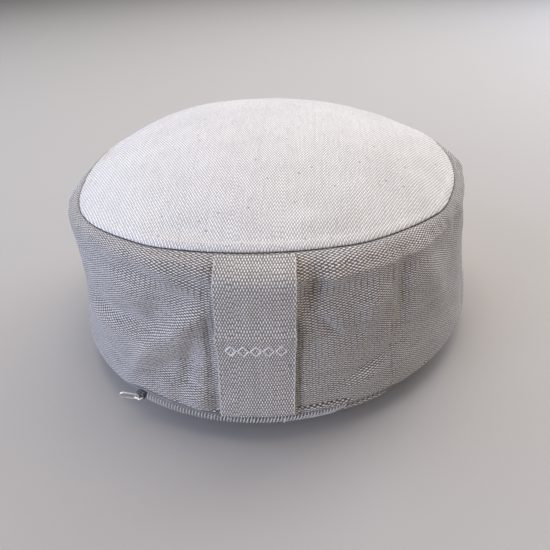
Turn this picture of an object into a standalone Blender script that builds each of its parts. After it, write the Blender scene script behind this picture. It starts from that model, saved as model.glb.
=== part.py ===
"""A zafu: a round, firmly filled floor cushion of natural canvas, with a strap and a zip at its front.

Angles run round the cushion in degrees from its front, where the strap is, positive towards +X.
Heights on the side wall are shares of the way from the base seam, 0, to the top seam, 1.
The origin is on the floor, at the middle of the base.
"""
import math

import bmesh
import bpy
from mathutils import Vector

MM = 0.001

# Driving dimensions, in metres
FOOT_RADIUS = 0.1650
TOP_SEAM_RADIUS = 0.1454
TOP_SEAM_HEIGHT = 0.1290
BASE_SEAM_HEIGHT = 0.0100
CROWN_RISE = 0.0366
CROWN_POWER = 2.445
REST_RADIUS = 0.138
CLOTH = 0.0020
GAP = 0.0005

STRAP_WIDTH = 0.0486
STRAP_THICK = 0.0028
STRAP_END_THICK = 0.0014
STRAP_LEAN = 0.9

HEM_STEP = 0.0032
HEM_LIP = 0.003
TAPE_THICK = 0.0008
TAPE_LEFT = -33.75
TAPE_RIGHT = 33.75
COIL_RADIUS = 0.0013
COIL_LEFT = -29.3
COIL_RIGHT = 33.0

SLIDER_SIZE = (0.0080, 0.0036, 0.0056)
BAIL_WIRE = 0.0006
BAIL_HEIGHT = 0.0030
BAIL_ROOT = 0.0004
PULL_WIRE = 0.00065
PULL_LENGTH = 0.0148
PULL_WIDTH = 0.0052
PULL_HANG = (-0.95, -0.28, -0.12)

AROUND = 96

# The wall's mean section: place, share of the height, radius in mm
WALL_SECTION = (
    ("base seam", 0.00, 156.7),
    ("foot", 0.10, 165.0),
    ("waist", 0.38, 161.1),
    ("chest", 0.68, 159.6),
    ("shoulder", 0.90, 159.0),
    ("top seam", 1.00, 145.4),
)

# How far each ring of the cushion is out of round: ring, waves in a turn, size in mm, angle of a crest
RING_WAVES = (
    ("shoulder", 2, 4.5, -13.0),
    ("shoulder", 3, 2.0, 6.7),
    ("foot", 1, 1.4, 30.4),
    ("foot", 2, 3.1, 1.6),
    ("foot", 3, 2.9, -25.3),
    ("seam radius", 1, 0.9, -94.9),
    ("seam radius", 2, 2.5, -25.3),
    ("seam radius", 3, 1.8, -35.5),
    ("seam height", 1, 1.8, -9.4),
    ("seam height", 2, 2.5, -6.3),
    ("seam height", 3, 2.2, -7.3),
)

# Folds, dents and swells of the wall. Angle in degrees, height above the floor, reach outwards (or in),
# half width and half length, all in mm, and the lean of the fold's length from upright in degrees
WALL_FOLDS = (
    # name, angle, height, reach, half width, half length, lean
    ("dent left of the strap", -26.0, 86.0, -3.0, 10.0, 32.0, 73.0),
    ("ridge under the dent", -18.0, 71.0, 2.4, 8.0, 34.0, 46.0),
    ("crease beside the strap", -15.5, 54.0, -2.0, 6.0, 20.0, 23.0),
    ("swell at the crease's foot", -11.5, 40.0, 1.3, 9.0, 13.0, 0.0),
    ("fold from the seam to the strap", -16.0, 115.0, 1.8, 7.0, 30.0, -66.0),
    ("hollow by the strap's top left", -13.5, 121.0, -1.8, 7.0, 16.0, -70.0),
    ("hollow of the left side", -72.0, 60.0, -2.2, 28.0, 46.0, 80.0),
    ("bulge of the left shoulder", -72.0, 112.0, 2.0, 13.0, 44.0, 90.0),
    ("flat of the left back shoulder", -116.0, 120.0, -3.2, 13.0, 46.0, 90.0),
    ("hollow by the strap's top right", 13.0, 120.0, -1.8, 6.0, 18.0, 10.0),
    ("swell right of the strap", 20.0, 114.0, 1.4, 10.0, 18.0, 20.0),
    ("closing seam", 36.0, 88.0, -1.6, 5.0, 46.0, 9.0),
    ("swell behind the closing seam", 44.0, 96.0, 1.8, 14.0, 28.0, 10.0),
    ("pinch at the right seam", 63.5, 119.0, -2.2, 8.0, 12.0, 0.0),
    ("flat of the right shoulder", 84.0, 112.0, -1.6, 14.0, 40.0, 90.0),
    ("soft dent behind the right side", 128.0, 72.0, -2.4, 16.0, 34.0, 62.0),
    ("soft ridge of the back", 158.0, 58.0, 1.8, 10.0, 34.0, 38.0),
    ("soft dent of the back", -168.0, 84.0, -2.6, 14.0, 34.0, 70.0),
    ("soft ridge of the left back", -132.0, 56.0, 1.8, 11.0, 32.0, 50.0),
    ("soft dent of the left back", -118.0, 90.0, -2.2, 12.0, 28.0, 65.0),
)

# Lumps of the crown. Angle in degrees, share of the way out to the seam, rise (or fall), half length
# round the cushion and half width towards its middle, in mm
CROWN_LUMPS = (
    # name, angle, out, rise, half length, half width
    ("dent of the front left edge", -20.0, 0.91, -2.4, 24.0, 9.0),
    ("lump left of that dent", -31.0, 0.94, 1.6, 14.0, 8.0),
    ("ridge of the front edge", 15.5, 0.88, 1.4, 30.0, 8.0),
    ("lump of the left back", -134.0, 0.74, 1.8, 44.0, 34.0),
    ("dip of the left", -100.0, 0.93, -2.0, 26.0, 14.0),
    ("shoulder of the right back", 104.0, 0.93, 2.6, 32.0, 16.0),
    ("dip of the right", 72.0, 0.92, -1.6, 22.0, 12.0),
    ("dip of the back", 168.0, 0.86, -1.4, 34.0, 16.0),
)

# How far the strap stands off the wall: share of the wall's height, reach in mm
STRAP_WAVES = (
    ("hem", 0.00, 0.5),
    ("foot", 0.15, 0.5),
    ("belly", 0.45, 0.8),
    ("dip", 0.60, 0.5),
    ("ridge", 0.74, 1.4),
    ("hollow", 0.84, 0.6),
    ("shoulder", 0.93, 0.9),
    ("seam", 1.00, 0.5),
)

# The hem's edge and the coil's middle, over the zip: place, angle, share of the wall's height
HEM_LINE = (
    ("left end", -36.0, 0.144),
    ("left", -16.0, 0.112),
    ("strap", 0.0, 0.096),
    ("right", 12.0, 0.088),
    ("right end", 36.0, 0.086),
)
COIL_LINE = (
    ("left end", -36.0, 0.112),
    ("left", -18.0, 0.074),
    ("middle", 0.0, 0.068),
    ("right end", 36.0, 0.067),
)

# Rows of points up the zip's tape and the wall behind it, as shares of the way up to the hem's edge
TAPE_ROWS = (0.0, 0.30, 0.65, 1.0)

# Rows of points up the wall, as shares of its height, from the top seam down to the base seam
WALL_ROWS = (0.975, 0.95, 0.92, 0.88, 0.82, 0.75, 0.67, 0.59, 0.51, 0.43, 0.35, 0.27, 0.21, 0.165)

# Rings of the crown, as shares of the way out to the seam
CROWN_RINGS = (0.17, 0.34, 0.50, 0.64, 0.76, 0.86, 0.93, 0.985)
UNDER_RINGS = (0.965, 0.93, 0.86, 0.76, 0.60, 0.38)

# Section points beside the top seam: outwards and upwards of it, in mm
LIP_POINTS = ((-0.9, 0.9), (-0.1, 0.1), (0.0, -0.8), (-0.7, -1.6), (-2.0, -1.8))
WALL_TOP_POINTS = ((-2.1, -2.35), (0.4, -2.35), (0.7, -1.6), (1.7, -1.1))


def smooth_window(value, start, end, soft):
    """1 between start and end, 0 outside them, with an even slope of width soft at each end."""
    rise = min(max((value - start) / soft + 0.5, 0.0), 1.0)
    fall = min(max((end - value) / soft + 0.5, 0.0), 1.0)
    return rise * rise * (3 - 2 * rise) * fall * fall * (3 - 2 * fall)


def along(rows, at):
    """The smooth value, without overshoot, of rows (name, place, value) at one place."""
    places = [row[1] for row in rows]
    values = [row[2] for row in rows]
    last = len(rows) - 1
    secants = [(values[i + 1] - values[i]) / (places[i + 1] - places[i]) for i in range(last)]
    slopes = [0.0] * len(rows)
    for i in range(1, last):
        before, after = secants[i - 1], secants[i]
        slopes[i] = 2 * before * after / (before + after) if before * after > 0 else 0.0
    slopes[0] = 1.5 * secants[0] - 0.5 * slopes[1]
    slopes[last] = 1.5 * secants[last - 1] - 0.5 * slopes[last - 1]
    i = max(k for k in range(last) if places[k] <= at or k == 0)
    span = places[i + 1] - places[i]
    t = (at - places[i]) / span
    return (
        values[i] * (1 + 2 * t) * (1 - t) ** 2
        + slopes[i] * span * t * (1 - t) ** 2
        + values[i + 1] * t * t * (3 - 2 * t)
        + slopes[i + 1] * span * t * t * (t - 1)
    )


def ring_wave(ring, angle):
    """How far a ring is out of round, or out of level, at an angle."""
    waves = [row for row in RING_WAVES if row[0] == ring]
    return MM * sum(size * math.cos(count * math.radians(angle - crest)) for _, count, size, crest in waves)


def turn_between(angle, other):
    """The signed turn from one angle to another, in radians, the short way round."""
    return math.radians((angle - other + 180.0) % 360.0 - 180.0)


def seam_point(angle):
    """Radius and height of the top seam."""
    radius = TOP_SEAM_RADIUS + ring_wave("seam radius", angle)
    return radius, TOP_SEAM_HEIGHT + ring_wave("seam height", angle)


def base_seam_radius(angle):
    """Radius of the base seam."""
    return MM * along(WALL_SECTION, 0.0) + ring_wave("foot", angle)


def folds(angle, height):
    """How far the folds, dents and swells push the wall out at one place."""
    push = 0.0
    for _, at, level, reach, half_width, half_length, lean in WALL_FOLDS:
        aside = turn_between(angle, at) * FOOT_RADIUS / MM
        above = height / MM - level
        turn = math.radians(lean)
        over = aside * math.cos(turn) - above * math.sin(turn)
        down = aside * math.sin(turn) + above * math.cos(turn)
        push += reach * math.exp(-((over / half_width) ** 2) - (down / half_length) ** 2)
    return MM * push


def wall_point(angle, share):
    """Radius and height of the wall at a share of its height."""
    seam_radius, seam_height = seam_point(angle)
    height = BASE_SEAM_HEIGHT + (seam_height - BASE_SEAM_HEIGHT) * share
    near_seam = min(max((share - 0.9) / 0.1, 0.0), 1.0)
    body = ring_wave("foot", angle) * (1 - share) + ring_wave("shoulder", angle) * share
    seam = ring_wave("seam radius", angle)
    radius = MM * along(WALL_SECTION, share) + body * (1 - near_seam) + seam * near_seam
    ends = smooth_window(share, 0.05, 0.96, 0.10)
    return radius + folds(angle, height) * ends, height


def off_wall(angle, share, out):
    """Radius and height of the point that stands out from the wall, square to it."""
    step = 0.004
    low = wall_point(angle, max(share - step, 0.0))
    high = wall_point(angle, min(share + step, 1.0))
    run, rise = high[0] - low[0], high[1] - low[1]
    length = math.hypot(run, rise)
    radius, height = wall_point(angle, share)
    return radius + out * rise / length, height - out * run / length


def crown_point(angle, out):
    """Radius and height of the crown at a share of the way out to the seam."""
    radius, edge = seam_point(angle)
    height = edge * out**3 + TOP_SEAM_HEIGHT * (1 - out**3) + CROWN_RISE * (1 - out**CROWN_POWER)
    for _, at, place, rise, half_length, half_width in CROWN_LUMPS:
        aside = turn_between(angle, at) * place * TOP_SEAM_RADIUS / MM
        inwards = (out - place) * TOP_SEAM_RADIUS / MM
        height += MM * rise * math.exp(-((aside / half_length) ** 2) - (inwards / half_width) ** 2)
    return radius * out, height


def under_base(angle, radius, lift):
    """Height of the base panel's underside, level where it rests and rising to the base seam."""
    edge = base_seam_radius(angle) - 0.6 * MM
    rise = max(radius - REST_RADIUS, 0.0) / (edge - REST_RADIUS)
    return (BASE_SEAM_HEIGHT - 2.2 * MM) * rise**2 + lift


def top_panel_section(angle):
    """The top panel from the middle of its crown, round its rolled edge, to the middle of its underside."""
    seam_radius, seam_height = seam_point(angle)
    section = [(0.0, crown_point(0.0, 0.0)[1])]
    section += [crown_point(angle, out) for out in CROWN_RINGS]
    section += [(seam_radius + out * MM, seam_height + up * MM) for out, up in LIP_POINTS]
    under = [crown_point(angle, out) for out in UNDER_RINGS]
    section += [(radius, height - CLOTH) for radius, height in under]
    section.append((0.0, crown_point(0.0, 0.0)[1] - CLOTH))
    return section


def side_wall_section(angle):
    """The filled drum from under the top panel, down the wall, to over the base panel."""
    seam_radius, seam_height = seam_point(angle)
    under = CLOTH + GAP
    section = [(0.0, crown_point(0.0, 0.0)[1] - under)]
    for out in reversed(UNDER_RINGS):
        radius, height = crown_point(angle, out)
        section.append((radius, height - under))
    section += [(seam_radius + out * MM, seam_height + up * MM) for out, up in WALL_TOP_POINTS]
    section += [wall_point(angle, share) for share in WALL_ROWS]
    inset = -HEM_STEP * smooth_window(angle, TAPE_LEFT - 1.9, TAPE_RIGHT + 1.9, 2.0)
    hem = along(HEM_LINE, min(max(angle, HEM_LINE[0][1]), HEM_LINE[-1][1]))
    section.append(wall_point(angle, hem + HEM_LIP))
    under_hem = [hem - HEM_LIP] + [row * hem for row in reversed(TAPE_ROWS[:-1])]
    section += [off_wall(angle, share, inset) for share in under_hem]
    edge = base_seam_radius(angle) - 7.0 * MM
    over = CLOTH + GAP
    section.append((edge, under_base(angle, edge, over)))
    section.append((REST_RADIUS, over))
    section.append((0.0, over))
    return section


def base_panel_section(angle):
    """The base panel from the middle of its upper side, round its edge, to the middle of its flat foot."""
    seam = base_seam_radius(angle)
    inner, rim = seam - 7.0 * MM, seam - 2.0 * MM
    return [
        (0.0, CLOTH),
        (REST_RADIUS, CLOTH),
        (inner, under_base(angle, inner, CLOTH)),
        (rim - 1.0 * MM, under_base(angle, rim - 1.0 * MM, 0.85 * CLOTH)),
        (rim, under_base(angle, rim, 0.5 * CLOTH)),
        (rim, under_base(angle, rim, 0.1 * CLOTH)),
        (inner, under_base(angle, inner, 0.0)),
        (REST_RADIUS, 0.0),
        (0.0, 0.0),
    ]


def place(angle, radius, height):
    """The point at an angle from the front, a radius from the middle and a height above the floor."""
    turn = math.radians(angle)
    return Vector((radius * math.sin(turn), -radius * math.cos(turn), height))


def finish(name, colour, roughness, metallic=0.0):
    """A plain finish of one colour."""
    material = bpy.data.materials.new(name)
    material.use_nodes = True
    shader = material.node_tree.nodes["Principled BSDF"]
    shader.inputs["Base Color"].default_value = (*colour, 1.0)
    shader.inputs["Roughness"].default_value = roughness
    shader.inputs["Metallic"].default_value = metallic
    return material


def add_object(name, mesh, collection, material):
    """An object for a mesh, in a collection, with its one material."""
    mesh.materials.clear()
    mesh.materials.append(material)
    mesh.shade_smooth()
    part = bpy.data.objects.new(name, mesh)
    collection.objects.link(part)
    return part


def settled_mesh(source):
    """The mesh that an object shows with its modifiers, its own object removed."""
    graph = bpy.context.evaluated_depsgraph_get()
    mesh = bpy.data.meshes.new_from_object(source.evaluated_get(graph))
    bpy.data.objects.remove(source)
    return mesh


def turned_cloth(name, section_at, collection, material):
    """A closed solid, turned as a ladder of rings, whose points then take their places in the section.

    The ladder has a ring of radius 1 m for each point of the section, one metre below the last, so a
    ring point's depth says which point of the section it is, and its direction at which angle.
    """
    count = len(section_at(0.0))
    ladder = bpy.data.meshes.new(name)
    rungs = [(0.0 if rung in (0, count - 1) else 1.0, 0.0, -float(rung)) for rung in range(count)]
    ladder.from_pydata(rungs, [(rung, rung + 1) for rung in range(count - 1)], [])
    source = bpy.data.objects.new(name, ladder)
    collection.objects.link(source)
    spin = source.modifiers.new("turn", "SCREW")
    spin.axis = "Z"
    spin.angle = 2 * math.pi
    spin.steps = AROUND
    spin.render_steps = AROUND
    spin.use_merge_vertices = True
    spin.merge_threshold = 0.0001
    mesh = settled_mesh(source)
    sections = {}
    for vertex in mesh.vertices:
        angle = math.degrees(math.atan2(vertex.co.x, -vertex.co.y))
        turn = round(angle * AROUND / 360.0)
        if turn not in sections:
            sections[turn] = section_at(turn * 360.0 / AROUND)
        radius, height = sections[turn][round(-vertex.co.z)]
        vertex.co = place(turn * 360.0 / AROUND, radius, height)
    return add_object(name, mesh, collection, material)


def sliced_box(name, columns, rows, point_at, collection, material):
    """A closed band: a unit box sliced at columns and rows, each point then moved by point_at.

    point_at takes the column, the row and the layer, 0 inside and 1 outside.
    """
    shape = bmesh.new()
    bmesh.ops.create_cube(shape, size=1.0)
    bmesh.ops.translate(shape, verts=shape.verts, vec=(0.5, 0.5, 0.5))
    for axis, cuts in ((0, columns), (2, rows)):
        for cut in cuts[1:-1]:
            at, square = Vector(), Vector()
            at[axis] = (cut - cuts[0]) / (cuts[-1] - cuts[0])
            square[axis] = 1.0
            everything = shape.verts[:] + shape.edges[:] + shape.faces[:]
            bmesh.ops.bisect_plane(shape, geom=everything, dist=1e-6, plane_co=at, plane_no=square)
    for vertex in shape.verts:
        column = columns[0] + vertex.co.x * (columns[-1] - columns[0])
        row = rows[0] + vertex.co.z * (rows[-1] - rows[0])
        vertex.co = point_at(column, row, 1 - round(vertex.co.y))
    mesh = bpy.data.meshes.new(name)
    shape.to_mesh(mesh)
    shape.free()
    return add_object(name, mesh, collection, material)


def wire(name, points, radius, collection, material, closed=False):
    """A round wire along points, with filled ends or as a closed loop."""
    path = bpy.data.curves.new(name, "CURVE")
    path.dimensions = "3D"
    path.bevel_depth = radius
    path.bevel_resolution = 2
    path.use_fill_caps = not closed
    line = path.splines.new("POLY")
    line.points.add(len(points) - 1)
    for knot, point in zip(line.points, points):
        knot.co = (*point, 1.0)
    line.use_cyclic_u = closed
    source = bpy.data.objects.new(name, path)
    collection.objects.link(source)
    mesh = settled_mesh(source)
    shape = bmesh.new()
    shape.from_mesh(mesh)
    bmesh.ops.remove_doubles(shape, verts=shape.verts, dist=0.00001)
    shape.to_mesh(mesh)
    shape.free()
    return add_object(name, mesh, collection, material)


def strap_point(column, row, layer):
    """A point of the strap: column in shares of the half width, row in shares of the wall's height."""
    stand_off = MM * along(STRAP_WAVES, row)
    end = smooth_window(row, 0.0, 0.955, 0.05)
    thick = STRAP_END_THICK + (STRAP_THICK - STRAP_END_THICK) * end
    round_edge = 0.5 if abs(column) > 0.99 else 1.0
    middle = STRAP_LEAN * row
    radius, height = off_wall(middle, row, stand_off)
    angle = middle + math.degrees(column * STRAP_WIDTH / 2 / radius)
    inner = 0.15 * (1 - round_edge) * thick
    outer = inner + thick * round_edge
    return place(angle, *off_wall(angle, row, stand_off + (outer if layer else inner)))


def tape_point(column, row, layer):
    """A point of the zip's tape: column an angle, row a share of the way up to the hem's edge."""
    inner = -HEM_STEP + GAP
    hem = along(HEM_LINE, column)
    share = min(row * hem, hem - 2 * HEM_LIP)
    return place(column, *off_wall(column, share, inner + layer * TAPE_THICK))


def zip_line(angle, out):
    """The point of the zip's line that stands out from the tape."""
    share = along(COIL_LINE, angle)
    return place(angle, *off_wall(angle, share, -HEM_STEP + GAP + TAPE_THICK + out))


def slider_axes():
    """The slider's middle on the tape, and its directions along the zip, outwards and up."""
    angle = COIL_LEFT - math.degrees((SLIDER_SIZE[0] / 2 + GAP) / FOOT_RADIUS) - 0.1
    middle = zip_line(angle, 0.0)
    onwards = (zip_line(angle - 1.0, 0.0) - zip_line(angle + 1.0, 0.0)).normalized()
    outwards = (zip_line(angle, MM) - middle).normalized()
    return middle, onwards, outwards, onwards.cross(outwards).normalized()


def build_slider(collection, material, cutters):
    """The slider: a small rounded body with a wire bail arched along it."""
    middle, onwards, outwards, upwards = slider_axes()
    length, depth, height = SLIDER_SIZE
    shape = bmesh.new()
    bmesh.ops.create_cube(shape, size=1.0)
    for vertex in shape.verts:
        narrow = 1.0 if vertex.co.x < 0 else 0.72
        out = GAP + (vertex.co.y + 0.5) * depth
        along_zip = vertex.co.x * length
        vertex.co = middle + onwards * along_zip + outwards * out + upwards * vertex.co.z * height * narrow
    bmesh.ops.recalc_face_normals(shape, faces=shape.faces)
    bmesh.ops.bevel(shape, geom=shape.edges[:], offset=0.0007, segments=1, affect="EDGES")
    mesh = bpy.data.meshes.new("zip_slider")
    shape.to_mesh(mesh)
    shape.free()
    slider = add_object("zip_slider", mesh, collection, material)
    face = middle + outwards * (GAP + depth)
    arch = []
    for step in range(13):
        turn = math.pi * step / 12
        rise = BAIL_HEIGHT * min(1.0, 1.35 * math.sin(turn))
        arch.append(face - onwards * 0.0028 * math.cos(turn) + outwards * (rise - BAIL_ROOT))
    bail = wire("bail", arch, BAIL_WIRE, cutters, material)
    bail.hide_render = True
    bail.display_type = "WIRE"
    union = slider.modifiers.new("bail", "BOOLEAN")
    union.operation = "UNION"
    union.solver = "EXACT"
    union.object = bail
    return slider


def build_pull(collection, material):
    """The pull: a long wire loop through the bail, hanging out to the left with its tip low."""
    middle, _, outwards, upwards = slider_axes()
    depth = SLIDER_SIZE[1]
    eye = middle + outwards * (GAP + depth + (BAIL_HEIGHT - BAIL_ROOT - BAIL_WIRE) / 2)
    reach = Vector(PULL_HANG).normalized()
    across = (upwards - reach * upwards.dot(reach)).normalized()
    end_radius = PULL_WIDTH / 2
    straight = PULL_LENGTH - PULL_WIDTH
    loop = []
    for centre, start in ((0.0, 90), (straight, -90)):
        for step in range(9):
            turn = math.radians(start + step * 22.5)
            along_pull = centre + end_radius * math.cos(turn)
            loop.append(eye + reach * (along_pull + end_radius) + across * end_radius * math.sin(turn))
    return wire("zip_pull", loop, PULL_WIRE, collection, material, closed=True)


def new_collection(name):
    """A collection in the scene."""
    collection = bpy.data.collections.new(name)
    bpy.context.scene.collection.children.link(collection)
    return collection


def main():
    for old in list(bpy.data.objects):
        bpy.data.objects.remove(old)
    parts = new_collection("zafu_cushion")
    cutters = new_collection("cutters")

    canvas = finish("natural canvas", (0.58, 0.54, 0.50), 0.95)
    strap_canvas = finish("strap canvas", (0.56, 0.52, 0.49), 0.95)
    tape = finish("zip tape", (0.40, 0.37, 0.35), 0.9)
    coil = finish("zip coil", (0.50, 0.47, 0.44), 0.6)
    metal = finish("nickelled metal", (0.72, 0.71, 0.69), 0.3, 1.0)

    turned_cloth("top_panel", top_panel_section, parts, canvas)
    turned_cloth("side_wall", side_wall_section, parts, canvas)
    turned_cloth("base_panel", base_panel_section, parts, canvas)

    strap_columns = (-1.0, -0.9, -0.5, 0.0, 0.5, 0.9, 1.0)
    strap_rows = (0.090, 0.105, 0.13, 0.17, 0.23, 0.29, 0.36, 0.43, 0.50, 0.56, 0.62, 0.68, 0.74, 0.80)
    strap_rows += (0.85, 0.885, 0.915, 0.94, 0.962, 0.984)
    sliced_box("handle_strap", strap_columns, strap_rows, strap_point, parts, strap_canvas)

    angles = [TAPE_LEFT + step * (TAPE_RIGHT - TAPE_LEFT) / 36 for step in range(37)]
    sliced_box("zip_tape", angles, TAPE_ROWS, tape_point, parts, tape)
    turns = [COIL_LEFT + step * (COIL_RIGHT - COIL_LEFT) / 40 for step in range(41)]
    wire("zip_coil", [zip_line(turn, GAP + COIL_RADIUS) for turn in turns], COIL_RADIUS, parts, coil)
    build_slider(parts, metal, cutters)
    build_pull(parts, metal)


main()
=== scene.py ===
"""A round meditation cushion of natural canvas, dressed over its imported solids.

Angles run round the cushion in degrees from its front, where the strap is, positive towards +X.
Heights on the side wall are shares of the way from the base seam, 0, to the top seam, 1.
Lengths are in metres, and in millimetres where a name, a docstring or a comment says so.
"""
import logging
import math
from dataclasses import dataclass
from enum import Enum

import bpy
import numpy as np
from mathutils import Matrix


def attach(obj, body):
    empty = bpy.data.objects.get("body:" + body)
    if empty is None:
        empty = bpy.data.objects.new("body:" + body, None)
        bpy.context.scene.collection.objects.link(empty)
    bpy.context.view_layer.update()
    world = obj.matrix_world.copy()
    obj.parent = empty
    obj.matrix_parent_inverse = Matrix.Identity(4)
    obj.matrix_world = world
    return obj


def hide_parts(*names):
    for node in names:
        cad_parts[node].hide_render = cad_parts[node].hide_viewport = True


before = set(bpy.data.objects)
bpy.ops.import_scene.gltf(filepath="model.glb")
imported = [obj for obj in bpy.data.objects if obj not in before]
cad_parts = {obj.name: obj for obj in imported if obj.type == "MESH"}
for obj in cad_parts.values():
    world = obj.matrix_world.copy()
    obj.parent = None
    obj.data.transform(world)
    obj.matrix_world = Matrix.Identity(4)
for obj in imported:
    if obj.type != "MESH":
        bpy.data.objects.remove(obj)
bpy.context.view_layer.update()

MM = 0.001
ARC_RADIUS = 0.16  # the wall's usual radius, which turns degrees along it into metres
THREADS = "threads"  # the pattern layer that cloth pieces carry
LOG = logging.getLogger("cushion")


class Held(Enum):
    """How a sheet of cloth is held in shape."""

    STRETCHED = "stretched"


class Ends(Enum):
    """How a grid of points is closed at its first and last row."""

    OPEN = "open"
    CAPPED = "capped"
    JOINED = "joined"


class Tone(Enum):
    """The colours of fibres, metal and floor, as sRGB hex."""

    WALL_LIGHT = "#F5F0EA"
    # The wall's gap colour: partly the crossing threads' tone, partly painted shade between the
    # floats
    WALL_GAP_PAINTED_SHADE = "#706357"
    # The top's canvas: the wall's cloth made lighter, painted light for the crown lit from above;
    # its gaps still carry painted shade
    TOP_FLOAT_PAINTED_LIGHT = "#F6F3EF"
    TOP_GAP_PAINTED_LIGHT_AND_SHADE = "#B5ADA5"
    # The strap's canvas: lighter than the wall's, painted light where its floats catch light from
    # above; its gaps still carry painted shade
    STRAP_FLOAT_PAINTED_LIGHT = "#FBF7F1"
    STRAP_GAP_PAINTED_LIGHT_AND_SHADE = "#8C8177"
    BARK_FLECK = "#6B5440"
    TAPE = "#B9B5B2"
    # Painted shade for the valleys between the tape's ribs
    TAPE_VALLEY_PAINTED_SHADE = "#7C7875"
    COIL = "#DCD8D3"
    THREAD = "#D8D2CB"
    EMBROIDERY = "#FAF7F2"
    NICKEL = "#EDEBE5"
    # The slider's nickel darkened: painted shade for the shadow the slider sits in
    NICKEL_PAINTED_SHADE = "#6A6866"
    FLOOR = "#AEA8A1"
    SKY = "#F4F8FF"


def linear(tone: Tone | str) -> tuple[float, float, float, float]:
    """Turns an sRGB hex colour to linear red, green, blue and alpha.

    Args:
        tone: a Tone, or its "#RRGGBB" text.

    Returns:
        Four numbers from 0 to 1.
    """
    text = tone.value if isinstance(tone, Tone) else tone
    parts = [int(text[i:i + 2], 16) / 255 for i in (1, 3, 5)]
    straight = [c / 12.92 if c <= 0.04045 else ((c + 0.055) / 1.055) ** 2.4 for c in parts]
    return (*straight, 1.0)


def table(kind: type, *rows: tuple) -> tuple:
    """One object of a kind for each row of its fields."""
    return tuple(kind(*row) for row in rows)


def unit(vectors: np.ndarray) -> np.ndarray:
    """Vectors of length 1 in the same directions."""
    return vectors / np.linalg.norm(vectors, axis=-1, keepdims=True)


def bell(*offsets: np.ndarray) -> np.ndarray:
    """A bell of height 1: e to minus the sum of the squares of the offsets, in half widths."""
    return np.exp(-sum(offset**2 for offset in offsets))


def window(value: np.ndarray, start: float, end: float, soft: float) -> np.ndarray:
    """1 between start and end, 0 outside them, with an even slope of width soft at each end."""
    rise = np.clip((value - start) / soft + 0.5, 0.0, 1.0)
    fall = np.clip((end - value) / soft + 0.5, 0.0, 1.0)
    return rise * rise * (3 - 2 * rise) * fall * fall * (3 - 2 * fall)


def around(angle: np.ndarray, other: float) -> np.ndarray:
    """The signed turn from other to angle, in degrees, the short way round."""
    return (angle - other + 180.0) % 360.0 - 180.0


def all_round(columns: int, start: float = -180.0) -> np.ndarray:
    """Evenly spaced angles for one whole turn."""
    return start + 360.0 * np.arange(columns) / columns


def with_first(grid: np.ndarray) -> np.ndarray:
    """A grid with its first column again at its end."""
    return np.concatenate((grid, grid[:, :1]), 1)


def run_along(points: np.ndarray) -> np.ndarray:
    """How far each row of a grid is from the first, by the mean length of the steps between."""
    steps = np.linalg.norm(np.diff(points, axis=0), axis=-1).mean(1)
    return np.concatenate(([0.0], np.cumsum(steps)))


@dataclass(frozen=True)
class Curve:
    """A smooth line through rows of (place, value), which never overshoots them."""

    rows: tuple[tuple[float, float], ...]

    def at(self, place: np.ndarray | float) -> np.ndarray:
        """The line's value: cubic Hermite pieces, each slope the harmonic mean of its neighbours'.

        Args:
            place: where to read the line.

        Returns:
            The values there.
        """
        places, values = np.array(self.rows).T
        secants = np.diff(values) / np.diff(places)
        before, after = secants[:-1], secants[1:]
        same = before * after > 0
        inner = np.where(same, 2 * before * after / np.where(same, before + after, 1.0), 0.0)
        first = 1.5 * secants[0] - 0.5 * inner[0]
        last = 1.5 * secants[-1] - 0.5 * inner[-1]
        slopes = np.concatenate(([first], inner, [last]))
        k = np.clip(np.searchsorted(places, place, side="right") - 1, 0, len(secants) - 1)
        span = places[k + 1] - places[k]
        t = (place - places[k]) / span
        return (
            values[k] * (1 + 2 * t) * (1 - t) ** 2
            + slopes[k] * span * t * (1 - t) ** 2
            + values[k + 1] * t * t * (3 - 2 * t)
            + slopes[k + 1] * span * t * t * (t - 1)
        )


@dataclass(frozen=True)
class Unevenness:
    """The small unevenness of stuffed cloth: many weak waves that cross in seeded directions.

    The shortest and the longest wave are in mm.
    """

    seed: int
    size: float
    shortest: float
    longest: float
    count: int = 28

    def at(self, points: np.ndarray) -> np.ndarray:
        """The sum of count cosine waves through space, scaled so that its usual size is size.

        Args:
            points: an array whose last axis is x, y, z in metres.

        Returns:
            The unevenness at the points, in the unit of size.
        """
        draw = np.random.default_rng(self.seed)
        ways = unit(draw.normal(size=(self.count, 3)))
        low, high = math.log(self.shortest), math.log(self.longest)
        lengths = np.exp(draw.uniform(low, high, self.count)) * MM
        phases = draw.uniform(0, 2 * math.pi, self.count)
        total = np.zeros(points.shape[:-1])
        for way, length, phase in zip(ways, lengths, phases):
            total += np.cos(points @ way * (2 * math.pi / length) + phase)
        return total * self.size * math.sqrt(2 / self.count)


def smooth_rows(points: np.ndarray, steps: int) -> np.ndarray:
    """More rows on the smooth curve through the rows of a grid.

    Each piece is the Catmull-Rom cubic of the two rows beside it and their neighbours.

    Args:
        points: rows x columns x values.
        steps: how many new rows each old step is cut into.

    Returns:
        The finer grid, with its first and last row kept.
    """
    before, after = 2 * points[:1] - points[1:2], 2 * points[-1:] - points[-2:-1]
    padded = np.concatenate((before, points, after))
    a, b, c, d = (part[:, None] for part in (padded[:-3], padded[1:-2], padded[2:-1], padded[3:]))
    t = (np.arange(steps) / steps)[None, :, None, None]
    square, cube = 2 * a - 5 * b + 4 * c - d, 3 * b - a - 3 * c + d
    fine = 0.5 * (2 * b + (c - a) * t + square * t**2 + cube * t**3)
    return np.concatenate((fine.reshape(-1, *points.shape[1:]), points[-1:]))


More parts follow.
